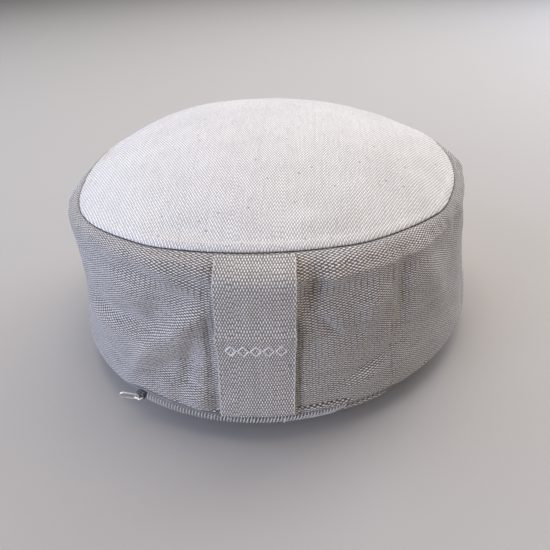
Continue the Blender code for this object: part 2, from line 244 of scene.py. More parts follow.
def pushed(points: np.ndarray, amount: np.ndarray) -> np.ndarray:
    """A grid of points, whose last column joins the first, moved square to its own surface.

    The direction is the cross product of the steps along the rows and along the columns.

    Args:
        points: rows x columns x 3.
        amount: how far each point moves, in metres.

    Returns:
        The moved points.
    """
    down = np.gradient(points, axis=0)
    across = np.roll(points, -1, axis=1) - np.roll(points, 1, axis=1)
    square = np.cross(across, down)
    length = np.linalg.norm(square, axis=-1, keepdims=True)
    return points + square / np.maximum(length, 1e-12) * amount[..., None]


def grid_faces(rows: int, columns: int, wrap: bool, joined: bool) -> tuple[np.ndarray, np.ndarray]:
    """The quads of a grid, as corners of its points and of its pattern.

    Args:
        rows: rows of points.
        columns: columns of points.
        wrap: whether the last column joins the first.
        joined: whether the last row joins the first.

    Returns:
        Point corners and pattern corners, each quads x 4. A wrapped pattern has a column more.
    """
    cells = np.arange(rows - (not joined)), np.arange(columns - (not wrap))
    row, column = (part.ravel() for part in np.meshgrid(*cells, indexing="ij"))
    below, beside, wide = (row + 1) % rows, (column + 1) % columns, columns + wrap
    quads = [(row, column), (row, beside), (below, beside), (below, column)]
    marks = [(row, column), (row, column + 1), (row + 1, column + 1), (row + 1, column)]
    return (
        np.stack([r * columns + c for r, c in quads], 1),
        np.stack([r * wide + c for r, c in marks], 1),
    )


def inside_out(points: np.ndarray, faces: list[list[int]]) -> bool:
    """Whether a closed mesh's faces point inwards: its signed volume over fans is negative."""
    corners = [(face[0], face[i], face[i + 1]) for face in faces for i in range(1, len(face) - 1)]
    a, b, c = (points[np.array(corners)[:, i]] for i in range(3))
    return float(np.einsum("ij,ij->i", np.cross(a, b), c).sum()) < 0


def add_skin(
    name: str,
    points: np.ndarray,
    material: bpy.types.Material,
    pattern: np.ndarray | None = None,
    wrap: bool = True,
    ends: Ends = Ends.CAPPED,
    poles: np.ndarray | None = None,
) -> bpy.types.Object:
    """A piece made of one grid of points, or of many alike.

    Args:
        name: the piece's name.
        points: rows x columns x 3, or grids x rows x columns x 3.
        material: its finish.
        pattern: where the cloth's threads lie, rows x (columns + wrap) x 2 in metres, for one grid.
        wrap: whether the last column joins the first.
        ends: how the first and last rows are closed.
        poles: two points that close the first and last rows as fans, in place of caps.

    Returns:
        The object, in the scene.
    """
    grids = points if points.ndim == 4 else points[None]
    count, rows, columns, _ = grids.shape
    quads, marks = grid_faces(rows, columns, wrap, ends is Ends.JOINED)
    offsets = np.arange(count) * rows * columns
    faces = (quads[None] + offsets[:, None, None]).reshape(-1, 4).tolist()
    corners = marks.tolist()
    spots = grids.reshape(-1, 3)
    if poles is not None:
        first, last = len(spots), len(spots) + 1
        spots = np.concatenate((spots, poles))
        base = (rows - 1) * columns
        turn = [(c, (c + 1) % columns) for c in range(columns)]
        faces += [[first, after, before] for before, after in turn]
        faces += [[last, base + before, base + after] for before, after in turn]
        top, low = rows * (columns + 1), (rows - 1) * (columns + 1)
        corners += [[top, c + 1, c] for c in range(columns)]
        corners += [[top + 1, low + c, low + c + 1] for c in range(columns)]
    elif ends is Ends.CAPPED:
        for offset in offsets.tolist():
            faces.append([offset + c for c in reversed(range(columns))])
            faces.append([offset + (rows - 1) * columns + c for c in range(columns)])
        corners += [[0] * columns, [0] * columns]
    if ends is not Ends.OPEN and inside_out(spots, faces):
        faces = [face[::-1] for face in faces]
        corners = [corner[::-1] for corner in corners]
    mesh = bpy.data.meshes.new(name)
    mesh.from_pydata(spots.tolist(), [], faces)
    if pattern is not None:
        flat = pattern.reshape(-1, 2)
        if poles is not None:
            flat = np.concatenate((flat, pattern[0].mean(0)[None], pattern[-1].mean(0)[None]))
        order = np.array([corner for face in corners for corner in face])
        layer = mesh.uv_layers.new(name=THREADS)
        layer.uv.foreach_set("vector", flat[order].astype(np.float32).ravel())
    mesh.materials.append(material)
    mesh.shade_smooth()
    mesh.update()
    piece = bpy.data.objects.new(name, mesh)
    bpy.context.scene.collection.objects.link(piece)
    return piece


def tube(
    path: np.ndarray,
    up: np.ndarray,
    radius: np.ndarray | float,
    sides: int,
    closed: bool = False,
    flat: float = 1.0,
) -> np.ndarray:
    """A tube along a path: circles spanned by the sideways direction and one out of the cloth.

    Args:
        path: points along the path, ... x 3.
        up: a direction that is never along the path, ... x 3. A closed path's circles hold it.
        radius: the tube's radius, or one for each point.
        sides: points in each circle.
        closed: whether the path's last point joins its first.
        flat: how high the circles are as a share of their width.

    Returns:
        Points, ... x sides x 3.
    """
    if closed:
        ahead = unit(np.roll(path, -1, -2) - np.roll(path, 1, -2))
    else:
        ahead = unit(np.gradient(path, axis=-2))
    aside = unit(np.cross(ahead, up))
    over = up if closed else np.cross(aside, ahead)
    turn = np.arange(sides) * 2 * math.pi / sides
    level, upright = np.cos(turn)[:, None], flat * np.sin(turn)[:, None]
    ring = level * aside[..., None, :] + upright * over[..., None, :]
    width = np.broadcast_to(np.asarray(radius), path.shape[:-1])
    return path[..., None, :] + ring * width[..., None, None]


def add_node(
    tree: bpy.types.NodeTree, kind: str, inputs: dict | None = None, **settings
) -> bpy.types.NodeSocket:
    """Adds a shader node with its settings and links.

    Args:
        tree: the material's nodes.
        kind: the node's type without "ShaderNode".
        inputs: a value or an output socket for each input, by name or number.
        **settings: the node's own properties.

    Returns:
        The node's first output.
    """
    made = tree.nodes.new("ShaderNode" + kind)
    for name, value in settings.items():
        setattr(made, name, value)
    for key, value in (inputs or {}).items():
        if isinstance(value, bpy.types.NodeSocket):
            tree.links.new(value, made.inputs[key])
        else:
            made.inputs[key].default_value = value
    return made.outputs[0]


@dataclass(frozen=True)
class Canvas:
    """Coarse hand-woven cotton and linen canvas, unbleached, in a plain weave of thick threads.

    To the eye: rows of pale oval floats, like rice grains in brick order, over darker gaps, with
    thick and thin stretches of thread, and a few specks of husk. The gaps' colour is partly the
    crossing threads' own darker tone and partly painted shade between the floats. Matte, with the
    sheen of fuzz.
    Its threads run along U of the piece's own pattern, in metres. A smaller contrast makes the
    step from gap to float steeper. Streaks is how much the threads differ in shade, and rows how
    much the threads that cross between the floats show.
    """

    name: str
    float_mm: float
    thread_mm: float
    relief_mm: float
    # light is the floats' colour; shade is the gaps', partly the crossing threads' tone and partly
    # painted shade
    light: Tone
    shade: Tone
    contrast: float
    streaks: float = 0.15
    rows: float = 0.0
    sheen: float = 0.18

    def make(self) -> bpy.types.Material:
        """Builds the canvas.

        A float's height is the cosine along its thread, which changes sign from thread to thread
        and from crossing to crossing, times the round section of the thread. Slow noise bends the
        threads, noise along each thread makes it thick and thin, and the height sets both the
        colour, from the gap to the float, and the relief. The low gaps take the shade colour, which
        is partly the crossing threads' own tone and partly painted shade between the floats. The
        cosine's square, times rows, shows the threads that cross between the floats.

        Returns:
            The material.
        """
        material = bpy.data.materials.new(self.name)
        material.use_nodes = True
        tree = material.node_tree
        shader = tree.nodes["Principled BSDF"]

        place = add_node(tree, "TexCoord").node.outputs["Object"]
        threads = add_node(tree, "UVMap", uv_map=THREADS)
        bend = add_node(
            tree,
            "TexNoise",
            {"Vector": place, "Scale": 90.0, "Detail": 2.0},
        ).node.outputs["Color"]
        bend = add_node(tree, "VectorMath", {0: bend, 1: (0.5, 0.5, 0.5)}, operation="SUBTRACT")
        bend = add_node(
            tree,
            "VectorMath",
            {0: bend, 1: (0.0014, 0.0008, 0.0)},
            operation="MULTIPLY",
        )
        bent = add_node(tree, "VectorMath", {0: threads, 1: bend}, operation="ADD")
        cells = add_node(
            tree,
            "VectorMath",
            {0: bent, 1: (1 / (self.float_mm * MM), 1 / (self.thread_mm * MM), 0.0)},
            operation="MULTIPLY",
        )
        split = add_node(tree, "SeparateXYZ", {0: cells}).node.outputs
        thread = add_node(tree, "Math", {0: split["Y"]}, operation="FLOOR")
        within = add_node(tree, "Math", {0: split["Y"]}, operation="FRACT")

        # Each thread starts its floats a little early or late, and is its own shade
        draw = add_node(tree, "TexWhiteNoise", {"W": thread}, noise_dimensions="1D")
        shift = add_node(tree, "Math", {0: draw, 1: 0.20, 2: split["X"]}, operation="MULTIPLY_ADD")
        turn = add_node(tree, "Math", {0: shift, 1: thread}, operation="ADD")
        turn = add_node(tree, "Math", {0: turn, 1: math.pi}, operation="MULTIPLY")
        wave = add_node(tree, "Math", {0: turn}, operation="COSINE")

        # The round section of the thread, from 0 at its edge to 1 on its crest
        aside = add_node(tree, "Math", {0: within, 1: 2.0, 2: -1.0}, operation="MULTIPLY_ADD")
        aside = add_node(tree, "Math", {0: aside, 1: 2.0}, operation="POWER")
        section = add_node(tree, "Math", {0: 1.0, 1: aside}, operation="SUBTRACT")
        section = add_node(tree, "Math", {0: section, 1: 0.5}, operation="POWER")

        # Thick and thin stretches along each thread
        stretch = add_node(tree, "CombineXYZ", {"X": split["X"], "Y": thread, "Z": 0.0})
        stretch = add_node(
            tree,
            "VectorMath",
            {0: stretch, 1: (0.16, 3.7, 1.0)},
            operation="MULTIPLY",
        )
        slub = add_node(
            tree,
            "TexNoise",
            {"Vector": stretch, "Scale": 1.0, "Detail": 2.0, "Roughness": 0.6},
        )
        lift = add_node(
            tree,
            "Math",
            {0: wave, 1: 0.5, 2: 0.5 - 0.5 * self.rows},
            operation="MULTIPLY_ADD",
        )
        crossed = add_node(tree, "Math", {0: wave, 1: wave}, operation="MULTIPLY")
        lift = add_node(tree, "Math", {0: crossed, 1: self.rows, 2: lift}, operation="MULTIPLY_ADD")
        height = add_node(tree, "Math", {0: lift, 1: section}, operation="MULTIPLY")
        swell = add_node(
            tree,
            "MapRange",
            {"Value": slub, "From Min": 0.3, "From Max": 0.7, "To Min": 0.72, "To Max": 1.2},
        )
        height = add_node(tree, "Math", {0: height, 1: swell}, operation="MULTIPLY")

        # Colour: gap to float, the gap colour partly thread tone and partly painted shade; each
        # thread and each stretch a little lighter or darker
        low, high = 0.52 - 0.34 * self.contrast, 0.52 + 0.30 * self.contrast
        share = add_node(
            tree,
            "MapRange",
            {"Value": height, "From Min": low, "From Max": high},
            interpolation_type="SMOOTHSTEP",
        )
        ground = add_node(
            tree,
            "Mix",
            {"Factor": share, "A": linear(self.shade), "B": linear(self.light)},
            data_type="RGBA",
        ).node.outputs["Result"]
        shade = add_node(
            tree,
            "MapRange",
            {"Value": draw, "To Min": 1.05 - self.streaks, "To Max": 1.05},
        )
        blotch = add_node(
            tree,
            "TexNoise",
            {"Vector": place, "Scale": 16.0, "Detail": 3.0, "Roughness": 0.55},
        )
        blotch = add_node(
            tree,
            "MapRange",
            {"Value": blotch, "From Min": 0.3, "From Max": 0.7, "To Min": 0.94, "To Max": 1.05},
        )
        shade = add_node(tree, "Math", {0: shade, 1: blotch}, operation="MULTIPLY")
        toned = add_node(
            tree,
            "Mix",
            {"Factor": 1.0, "A": ground, "B": shade},
            data_type="RGBA", blend_type="MULTIPLY",
        ).node.outputs["Result"]

        # Specks of husk, a few to the square centimetre
        speck = add_node(tree, "TexVoronoi", {"Vector": bent, "Scale": 260.0}).node.outputs
        chosen = add_node(tree, "SeparateColor", {0: speck["Color"]})
        chosen = add_node(tree, "Math", {0: chosen, 1: 0.93}, operation="GREATER_THAN")
        near = add_node(tree, "Math", {0: speck["Distance"], 1: 0.20}, operation="LESS_THAN")
        fleck = add_node(tree, "Math", {0: chosen, 1: near}, operation="MULTIPLY")
        fleck = add_node(tree, "Math", {0: fleck, 1: 0.55}, operation="MULTIPLY")
        flecked = add_node(
            tree,
            "Mix",
            {"Factor": fleck, "A": toned, "B": linear(Tone.BARK_FLECK)},
            data_type="RGBA",
        ).node.outputs["Result"]
        tree.links.new(flecked, shader.inputs["Base Color"])

        # Relief: the floats, and the fibres that lie along them
        fibre = add_node(
            tree,
            "VectorMath",
            {0: bent, 1: (700.0, 5200.0, 1.0)},
            operation="MULTIPLY",
        )
        fibre = add_node(tree, "TexNoise", {"Vector": fibre, "Scale": 1.0, "Detail": 1.0})
        rise = add_node(tree, "Math", {0: fibre, 1: 0.16, 2: height}, operation="MULTIPLY_ADD")
        relief = add_node(
            tree, "Bump", {"Height": rise, "Strength": 1.0, "Distance": self.relief_mm * MM}
        )
        tree.links.new(relief, shader.inputs["Normal"])
        shader.inputs["Roughness"].default_value = 0.92
        shader.inputs["Specular IOR Level"].default_value = 0.22
        shader.inputs["Sheen Weight"].default_value = self.sheen
        shader.inputs["Sheen Roughness"].default_value = 0.45
        return material


@dataclass(frozen=True)
class WovenTape:
    """Fine polyester zip tape, woven in a herringbone too fine to show, drawn as 0.7 mm ribs.

    To the eye: a smooth dull band, greyer than the canvas, with faint upright ribs.
    """

    name: str = "woven_zip_tape"
    rib_mm: float = 0.7

    def make(self) -> bpy.types.Material:
        """Builds the tape: a sine of its ribs along U darkens the valleys with painted shade and
        lifts the ribs.

        Returns:
            The material.
        """
        material = bpy.data.materials.new(self.name)
        material.use_nodes = True
        tree = material.node_tree
        shader = tree.nodes["Principled BSDF"]
        threads = add_node(tree, "UVMap", uv_map=THREADS)
        turns = add_node(
            tree,
            "VectorMath",
            {0: threads, 1: (2 * math.pi / (self.rib_mm * MM), 0.0, 0.0)},
            operation="MULTIPLY",
        )
        rib = add_node(tree, "SeparateXYZ", {0: turns})
        rib = add_node(tree, "Math", {0: rib}, operation="SINE")
        share = add_node(tree, "MapRange", {"Value": rib, "From Min": -1.0, "From Max": 1.0})
        place = add_node(tree, "TexCoord").node.outputs["Object"]
        wear = add_node(tree, "TexNoise", {"Vector": place, "Scale": 220.0, "Detail": 3.0})
        share = add_node(tree, "Math", {0: share, 1: wear}, operation="MULTIPLY")
        # Painted shade: the valleys between the ribs take the darker tape colour
        tint = add_node(
            tree,
            "Mix",
            {"Factor": share, "A": linear(Tone.TAPE_VALLEY_PAINTED_SHADE), "B": linear(Tone.TAPE)},
            data_type="RGBA",
        ).node.outputs["Result"]
        tree.links.new(tint, shader.inputs["Base Color"])
        relief = add_node(tree, "Bump", {"Height": share, "Strength": 0.6, "Distance": 0.15 * MM})
        tree.links.new(relief, shader.inputs["Normal"])
        shader.inputs["Roughness"].default_value = 0.8
        shader.inputs["Sheen Weight"].default_value = 0.1
        return material


@dataclass(frozen=True)
class Filament:
    """A thread or moulded filament: polyester coil, sewing cotton or embroidery cotton.

    To the eye: small smooth ribs with a soft highlight, and slight changes of tint between them.
    """

    name: str
    tone: Tone
    roughness: float
    sheen: float = 0.0
    fibre_mm: float = 0.35

    def make(self) -> bpy.types.Material:
        """Builds the filament: slow noise tints it, and noise at the fibre's size roughens it.

        Returns:
            The material.
        """
        material = bpy.data.materials.new(self.name)
        material.use_nodes = True
        tree = material.node_tree
        shader = tree.nodes["Principled BSDF"]
        place = add_node(tree, "TexCoord").node.outputs["Object"]
        grain = add_node(
            tree, "TexNoise", {"Vector": place, "Scale": 1 / (self.fibre_mm * MM), "Detail": 2.0}
        )
        slow = add_node(tree, "TexNoise", {"Vector": place, "Scale": 120.0, "Detail": 2.0})
        share = add_node(
            tree,
            "MapRange",
            {"Value": slow, "From Min": 0.3, "From Max": 0.7, "To Min": 0.78, "To Max": 1.0},
        )
        tint = add_node(
            tree,
            "Mix",
            {"Factor": 1.0, "A": linear(self.tone), "B": share},
            data_type="RGBA", blend_type="MULTIPLY",
        ).node.outputs["Result"]
        tree.links.new(tint, shader.inputs["Base Color"])
        relief = add_node(tree, "Bump", {"Height": grain, "Strength": 0.5, "Distance": 0.1 * MM})
        tree.links.new(relief, shader.inputs["Normal"])
        shader.inputs["Roughness"].default_value = self.roughness
        shader.inputs["Sheen Weight"].default_value = self.sheen
        return material


@dataclass(frozen=True)
class NickelPlate:
    """Die-cast zinc, tumbled and nickel plated.

    To the eye: grey metal, softly mirrored, with dull rubbed patches.
    """

    name: str
    tone: Tone

    def make(self) -> bpy.types.Material:
        """Builds the plating: noise at 1 mm changes how sharply it mirrors.

        Returns:
            The material.
        """
        material = bpy.data.materials.new(self.name)
        material.use_nodes = True
        tree = material.node_tree
        shader = tree.nodes["Principled BSDF"]
        place = add_node(tree, "TexCoord").node.outputs["Object"]
        rubbed = add_node(tree, "TexNoise", {"Vector": place, "Scale": 900.0, "Detail": 3.0})
        rough = add_node(
            tree,
            "MapRange",
            {"Value": rubbed, "From Min": 0.3, "From Max": 0.7, "To Min": 0.2, "To Max": 0.42},
        )
        tree.links.new(rough, shader.inputs["Roughness"])
        shader.inputs["Base Color"].default_value = linear(self.tone)
        shader.inputs["Metallic"].default_value = 1.0
        return material


@dataclass(frozen=True)
class StudioFloor:
    """A plain pale matte studio floor, rolled paint on board."""

    name: str = "pale_matte_floor"

    def make(self) -> bpy.types.Material:
        """Builds the paint: one pale colour with the faint stipple of a roller.

        Returns:
            The material.
        """
        material = bpy.data.materials.new(self.name)
        material.use_nodes = True
        tree = material.node_tree
        shader = tree.nodes["Principled BSDF"]
        place = add_node(tree, "TexCoord").node.outputs["Object"]
        stipple = add_node(tree, "TexNoise", {"Vector": place, "Scale": 300.0, "Detail": 2.0})
        relief = add_node(tree, "Bump", {"Height": stipple, "Strength": 0.08, "Distance": 0.2 * MM})
        tree.links.new(relief, shader.inputs["Normal"])
        shader.inputs["Base Color"].default_value = linear(Tone.FLOOR)
        shader.inputs["Roughness"].default_value = 0.75
        return material


@dataclass(frozen=True)
class Wave:
    """How a ring is out of round: waves in a turn, size in mm, angle of a crest in degrees."""

    count: int
    size: float
    crest: float


@dataclass(frozen=True)
class Fold:
    """A soft trough or ridge of the wall, in mm and degrees; its length leans from upright."""

    angle: float
    height: float
    reach: float
    half_width: float
    half_length: float
    lean: float


@dataclass(frozen=True)
class Lump:
    """A soft lump or dip of the crown, in mm, at an angle and a share of the way out."""

    angle: float
    out: float
    rise: float
    half_length: float
    half_width: float


# Folds, dents and swells that the solids have too
MAIN_FOLDS = table(
    Fold,
    (-26.0, 86.0, -3.0, 10.0, 32.0, 73.0), (-18.0, 71.0, 2.4, 8.0, 34.0, 46.0),
    (-15.5, 54.0, -2.0, 6.0, 20.0, 23.0), (-11.5, 40.0, 1.3, 9.0, 13.0, 0.0),
    (-16.0, 115.0, 1.8, 7.0, 30.0, -66.0), (-13.5, 121.0, -1.8, 7.0, 16.0, -70.0),
    (-72.0, 60.0, -2.2, 28.0, 46.0, 80.0), (-72.0, 112.0, 2.0, 13.0, 44.0, 90.0),
    (-116.0, 120.0, -3.2, 13.0, 46.0, 90.0), (13.0, 120.0, -1.8, 6.0, 18.0, 10.0),
    (20.0, 114.0, 1.4, 10.0, 18.0, 20.0), (36.0, 88.0, -1.6, 5.0, 46.0, 9.0),
    (44.0, 96.0, 1.8, 14.0, 28.0, 10.0), (63.5, 119.0, -2.2, 8.0, 12.0, 0.0),
    (84.0, 112.0, -1.6, 14.0, 40.0, 90.0), (128.0, 72.0, -2.4, 16.0, 34.0, 62.0),
    (158.0, 58.0, 1.8, 10.0, 34.0, 38.0), (-168.0, 84.0, -2.6, 14.0, 34.0, 70.0),
    (-132.0, 56.0, 1.8, 11.0, 32.0, 50.0), (-118.0, 90.0, -2.2, 12.0, 28.0, 65.0),
)
CROWN_LUMPS = table(
    Lump,
    (-20.0, 0.91, -2.4, 24.0, 9.0), (-31.0, 0.94, 1.6, 14.0, 8.0), (15.5, 0.88, 1.4, 30.0, 8.0),
    (-134.0, 0.74, 1.8, 44.0, 34.0), (-100.0, 0.93, -2.0, 26.0, 14.0),
    (104.0, 0.93, 2.6, 32.0, 16.0), (72.0, 0.92, -1.6, 22.0, 12.0), (168.0, 0.86, -1.4, 34.0, 16.0),
)
# Narrow creases and puckers of the wall that only the cloth has, beside the main folds
FINE_FOLDS = table(
    Fold,
    (-42.9, 75.0, -4.6, 5.5, 46.0, 84.0), (-44.0, 60.0, 4.2, 12.0, 34.0, 82.7),
    (-30.0, 100.0, 3.0, 12.0, 16.0, 90.0), (-27.7, 120.0, -2.2, 6.0, 25.2, 86.4),
    (-14.5, 112.0, -3.2, 10.0, 17.0, 85.0), (-23.5, 91.9, -2.0, 6.0, 12.3, 22.4),
    (-27.1, 55.5, 4.4, 6.0, 24.1, 36.9), (-16.1, 86.0, 4.8, 6.0, 25.7, 50.7),
    (-21.5, 51.0, -3.6, 7.0, 16.0, 50.0), (-15.8, 55.7, -3.0, 4.5, 18.0, 15.1),
    (-12.2, 89.6, -1.2, 3.0, 6.6, 26.9), (-13.4, 32.0, 2.4, 8.0, 11.0, 60.0),
    (-9.9, 73.0, -3.2, 2.4, 48.0, 0.6), (-46.0, 127.6, 1.0, 4.5, 44.0, 84.9),
    (10.6, 70.0, 1.6, 2.6, 44.0, 0.5), (20.0, 113.0, -3.6, 16.0, 32.0, 90.0),
    (45.0, 113.0, -3.4, 16.0, 48.0, 90.0), (32.0, 129.5, 2.2, 4.0, 62.0, 90.0),
    (-26.0, 113.0, -2.4, 14.0, 44.0, 90.0), (-18.0, 129.5, 1.6, 4.0, 30.0, 90.0),
    (13.2, 112.0, -5.6, 7.5, 16.0, 10.0), (17.1, 118.8, 1.3, 5.0, 12.9, 34.2),
    (16.7, 86.1, -2.6, 3.2, 11.6, -40.4), (18.3, 88.3, 1.0, 3.5, 10.3, -45.1),
    (23.8, 77.4, -1.1, 3.0, 3.0, -60.1), (26.2, 46.9, -2.4, 3.5, 19.6, 73.3),
    (27.1, 37.5, 1.8, 4.5, 17.8, 73.7), (18.6, 65.7, 1.8, 7.0, 16.0, 81.0),
    (27.5, 92.0, 3.0, 8.0, 22.0, 12.0), (37.2, 90.0, -4.0, 5.5, 20.0, 2.0),
    (50.0, 84.4, 2.2, 11.0, 34.0, -23.9), (36.2, 58.7, -1.0, 5.0, 10.3, -7.1),
    (97.0, 116.0, 2.6, 10.0, 34.0, 90.0),
)


@dataclass(frozen=True)
class CushionForm:
    """The form that every piece follows, with the same named sizes as the solids.

    The section and the kinks of the top seam (angle, reach, half width) are in mm and degrees.
    """

    foot_radius: float = 0.1650
    top_seam_radius: float = 0.1454
    top_seam_height: float = 0.1290
    base_seam_height: float = 0.0100
    crown_rise: float = 0.0366
    crown_power: float = 2.445
    rest_radius: float = 0.138
    cloth: float = 0.0020
    gap: float = 0.0005
    section: Curve = Curve(
        ((0.0, 156.7), (0.1, 165.0), (0.38, 161.1), (0.68, 159.6), (0.9, 159.0), (1.0, 145.4))
    )
    shoulder: tuple[Wave, ...] = (Wave(2, 4.5, -13.0), Wave(3, 2.0, 6.7))
    foot: tuple[Wave, ...] = (Wave(1, 1.4, 30.4), Wave(2, 3.1, 1.6), Wave(3, 2.9, -25.3))
    seam_out: tuple[Wave, ...] = (Wave(1, 0.9, -94.9), Wave(2, 2.5, -25.3), Wave(3, 1.8, -35.5))
    seam_up: tuple[Wave, ...] = (Wave(1, 1.8, -9.4), Wave(2, 2.5, -6.3), Wave(3, 2.2, -7.3))
    kinks: tuple[tuple[float, float, float], ...] = (
        (-118.0, 4.0, 30.0), (-56.0, 2.0, 14.0), (-25.0, 0.8, 5.0), (-36.0, -0.5, 6.0),
        (27.0, 0.8, 5.0), (42.0, -0.5, 6.0), (60.0, 2.2, 8.0), (100.0, 0.6, 8.0),
        (150.0, -0.7, 7.0), (-150.0, 0.6, 8.0), (-120.0, -0.6, 7.0),
    )
    folds: tuple[Fold, ...] = MAIN_FOLDS
    lumps: tuple[Lump, ...] = CROWN_LUMPS
    base_seam_inset: float = 0.0070
    base_rim_inset: float = 0.0006
    base_rim_drop: float = 0.0022

    @property
    def span(self) -> float:
        """Height of the wall between its seams."""
        return self.top_seam_height - self.base_seam_height

    @staticmethod
    def waved(waves: tuple[Wave, ...], angle: np.ndarray) -> np.ndarray:
        """How far a ring is out of round at an angle: the sum of its cosines."""
        return MM * sum(w.size * np.cos(w.count * np.radians(angle - w.crest)) for w in waves)

    @staticmethod
    def place(angle: np.ndarray, radius: np.ndarray, height: np.ndarray) -> np.ndarray:
        """Points from their angle, their radius from the middle and their height off the floor."""
        turn = np.radians(angle)
        x, y = radius * np.sin(turn), -radius * np.cos(turn)
        return np.stack(np.broadcast_arrays(x, y, height), -1)

    def turned(self, angle: np.ndarray, section: np.ndarray) -> np.ndarray:
        """Points from rows of (radius, height), one for each angle."""
        return self.place(angle[None], section[..., 0], section[..., 1])

    def seam(self, angle: np.ndarray) -> tuple[np.ndarray, np.ndarray]:
        """Radius and height of the top seam: rings, waves, and the stitching's kinks as bells."""
        kinked = MM * sum(out * bell(around(angle, at) / wide) for at, out, wide in self.kinks)
        return (
            self.top_seam_radius + self.waved(self.seam_out, angle) + kinked,
            self.top_seam_height + self.waved(self.seam_up, angle),
        )

    def base_seam(self, angle: np.ndarray) -> np.ndarray:
        """Radius of the base seam."""
        return MM * self.section.at(0.0) + self.waved(self.foot, angle)

    def folded(
        self, angle: np.ndarray, height: np.ndarray, folds: tuple[Fold, ...]
    ) -> np.ndarray:
        """How far folds push the wall out: each is its reach times a bell across and along it.

        Args:
            angle: degrees from the front.
            height: metres above the floor.
            folds: the folds to add up.

        Returns:
            Metres outwards.
        """
        push = np.zeros(np.broadcast(angle, height).shape)
        for fold in folds:
            aside = np.radians(around(angle, fold.angle)) * self.foot_radius / MM
            above = height / MM - fold.height
            lean = math.radians(fold.lean)
            over = aside * math.cos(lean) - above * math.sin(lean)
            down = aside * math.sin(lean) + above * math.cos(lean)
            push = push + fold.reach * bell(over / fold.half_width, down / fold.half_length)
        return MM * push

    def wall(self, angle: np.ndarray, share: np.ndarray) -> tuple[np.ndarray, np.ndarray]:
        """Radius and height of the wall.

        The radius is the mean section, plus the rings' waves blended from foot to shoulder and on
        to the seam, plus the folds, which fade out at both seams.

        Args:
            angle: degrees from the front.
            share: how far up the wall.

        Returns:
            Radius and height in metres.
        """
        seam_radius, seam_height = self.seam(angle)
        height = self.base_seam_height + (seam_height - self.base_seam_height) * share
        near = np.clip((share - 0.9) / 0.1, 0.0, 1.0)
        body = self.waved(self.foot, angle) * (1 - share) + self.waved(self.shoulder, angle) * share
        edge = seam_radius - self.top_seam_radius
        radius = MM * self.section.at(share) + body * (1 - near) + edge * near
        ends = window(share, 0.05, 0.96, 0.10)
        return radius + self.folded(angle, height, self.folds) * ends, height

    def off_wall(self, angle: np.ndarray, share: np.ndarray, out: np.ndarray) -> np.ndarray:
        """Points that stand out from the wall, square to its section.

        Args:
            angle: degrees from the front.
            share: how far up the wall.
            out: metres out from the wall.

        Returns:
            Points, ... x 3.
        """
        step = 0.004
        low = self.wall(angle, np.maximum(share - step, 0.0))
        high = self.wall(angle, np.minimum(share + step, 1.0))
        run, rise = high[0] - low[0], high[1] - low[1]
        length = np.hypot(run, rise)
        radius, height = self.wall(angle, share)
        return self.place(angle, radius + out * rise / length, height - out * run / length)

    def crown(self, angle: np.ndarray, out: np.ndarray) -> tuple[np.ndarray, np.ndarray]:
        """Radius and height of the crown at a share of the way out to the seam.

        The height is a dome, 1 less a power of the way out, on the seam's own height, plus lumps.

        Args:
            angle: degrees from the front.
            out: shares of the way out.

        Returns:
            Radius and height in metres.
        """
        radius, edge = self.seam(angle)
        dome = self.crown_rise * (1 - out**self.crown_power)
        height = edge * out**3 + self.top_seam_height * (1 - out**3) + dome
        for lump in self.lumps:
            aside = np.radians(around(angle, lump.angle)) * lump.out * self.top_seam_radius / MM
            inwards = (out - lump.out) * self.top_seam_radius / MM
            height = height + MM * lump.rise * bell(
                aside / lump.half_length, inwards / lump.half_width
            )
        return radius * out, height

    def crown_rings(self, angle: np.ndarray, out: np.ndarray, drop: float) -> np.ndarray:
        """Rows of (radius, height) under the crown, at shares of the way out and a drop."""
        rings = np.stack(self.crown(angle[None], np.asarray(out)[:, None]), -1)
        rings[..., 1] -= drop
        return rings

    def base_rings(
        self, angle: np.ndarray, radii: tuple[np.ndarray, ...], lifts: tuple[float, ...]
    ) -> np.ndarray:
        """Rows of (radius, height) over the base's underside.

        It is level where it rests, and rises with the square of the way out to the base seam.

        Args:
            angle: degrees from the front.
            radii: each row's radius at the angles.
            lifts: each row's height over the underside.

        Returns:
            Rows x angles x 2.
        """
        edge = self.base_seam(angle) - self.base_rim_inset
        rows = []
        for radius, lift in zip(radii, lifts):
            rise = np.maximum(radius - self.rest_radius, 0.0) / (edge - self.rest_radius)
            height = (self.base_seam_height - self.base_rim_drop) * rise**2 + lift
            rows.append(np.stack((radius, height), -1))
        return np.stack(rows)


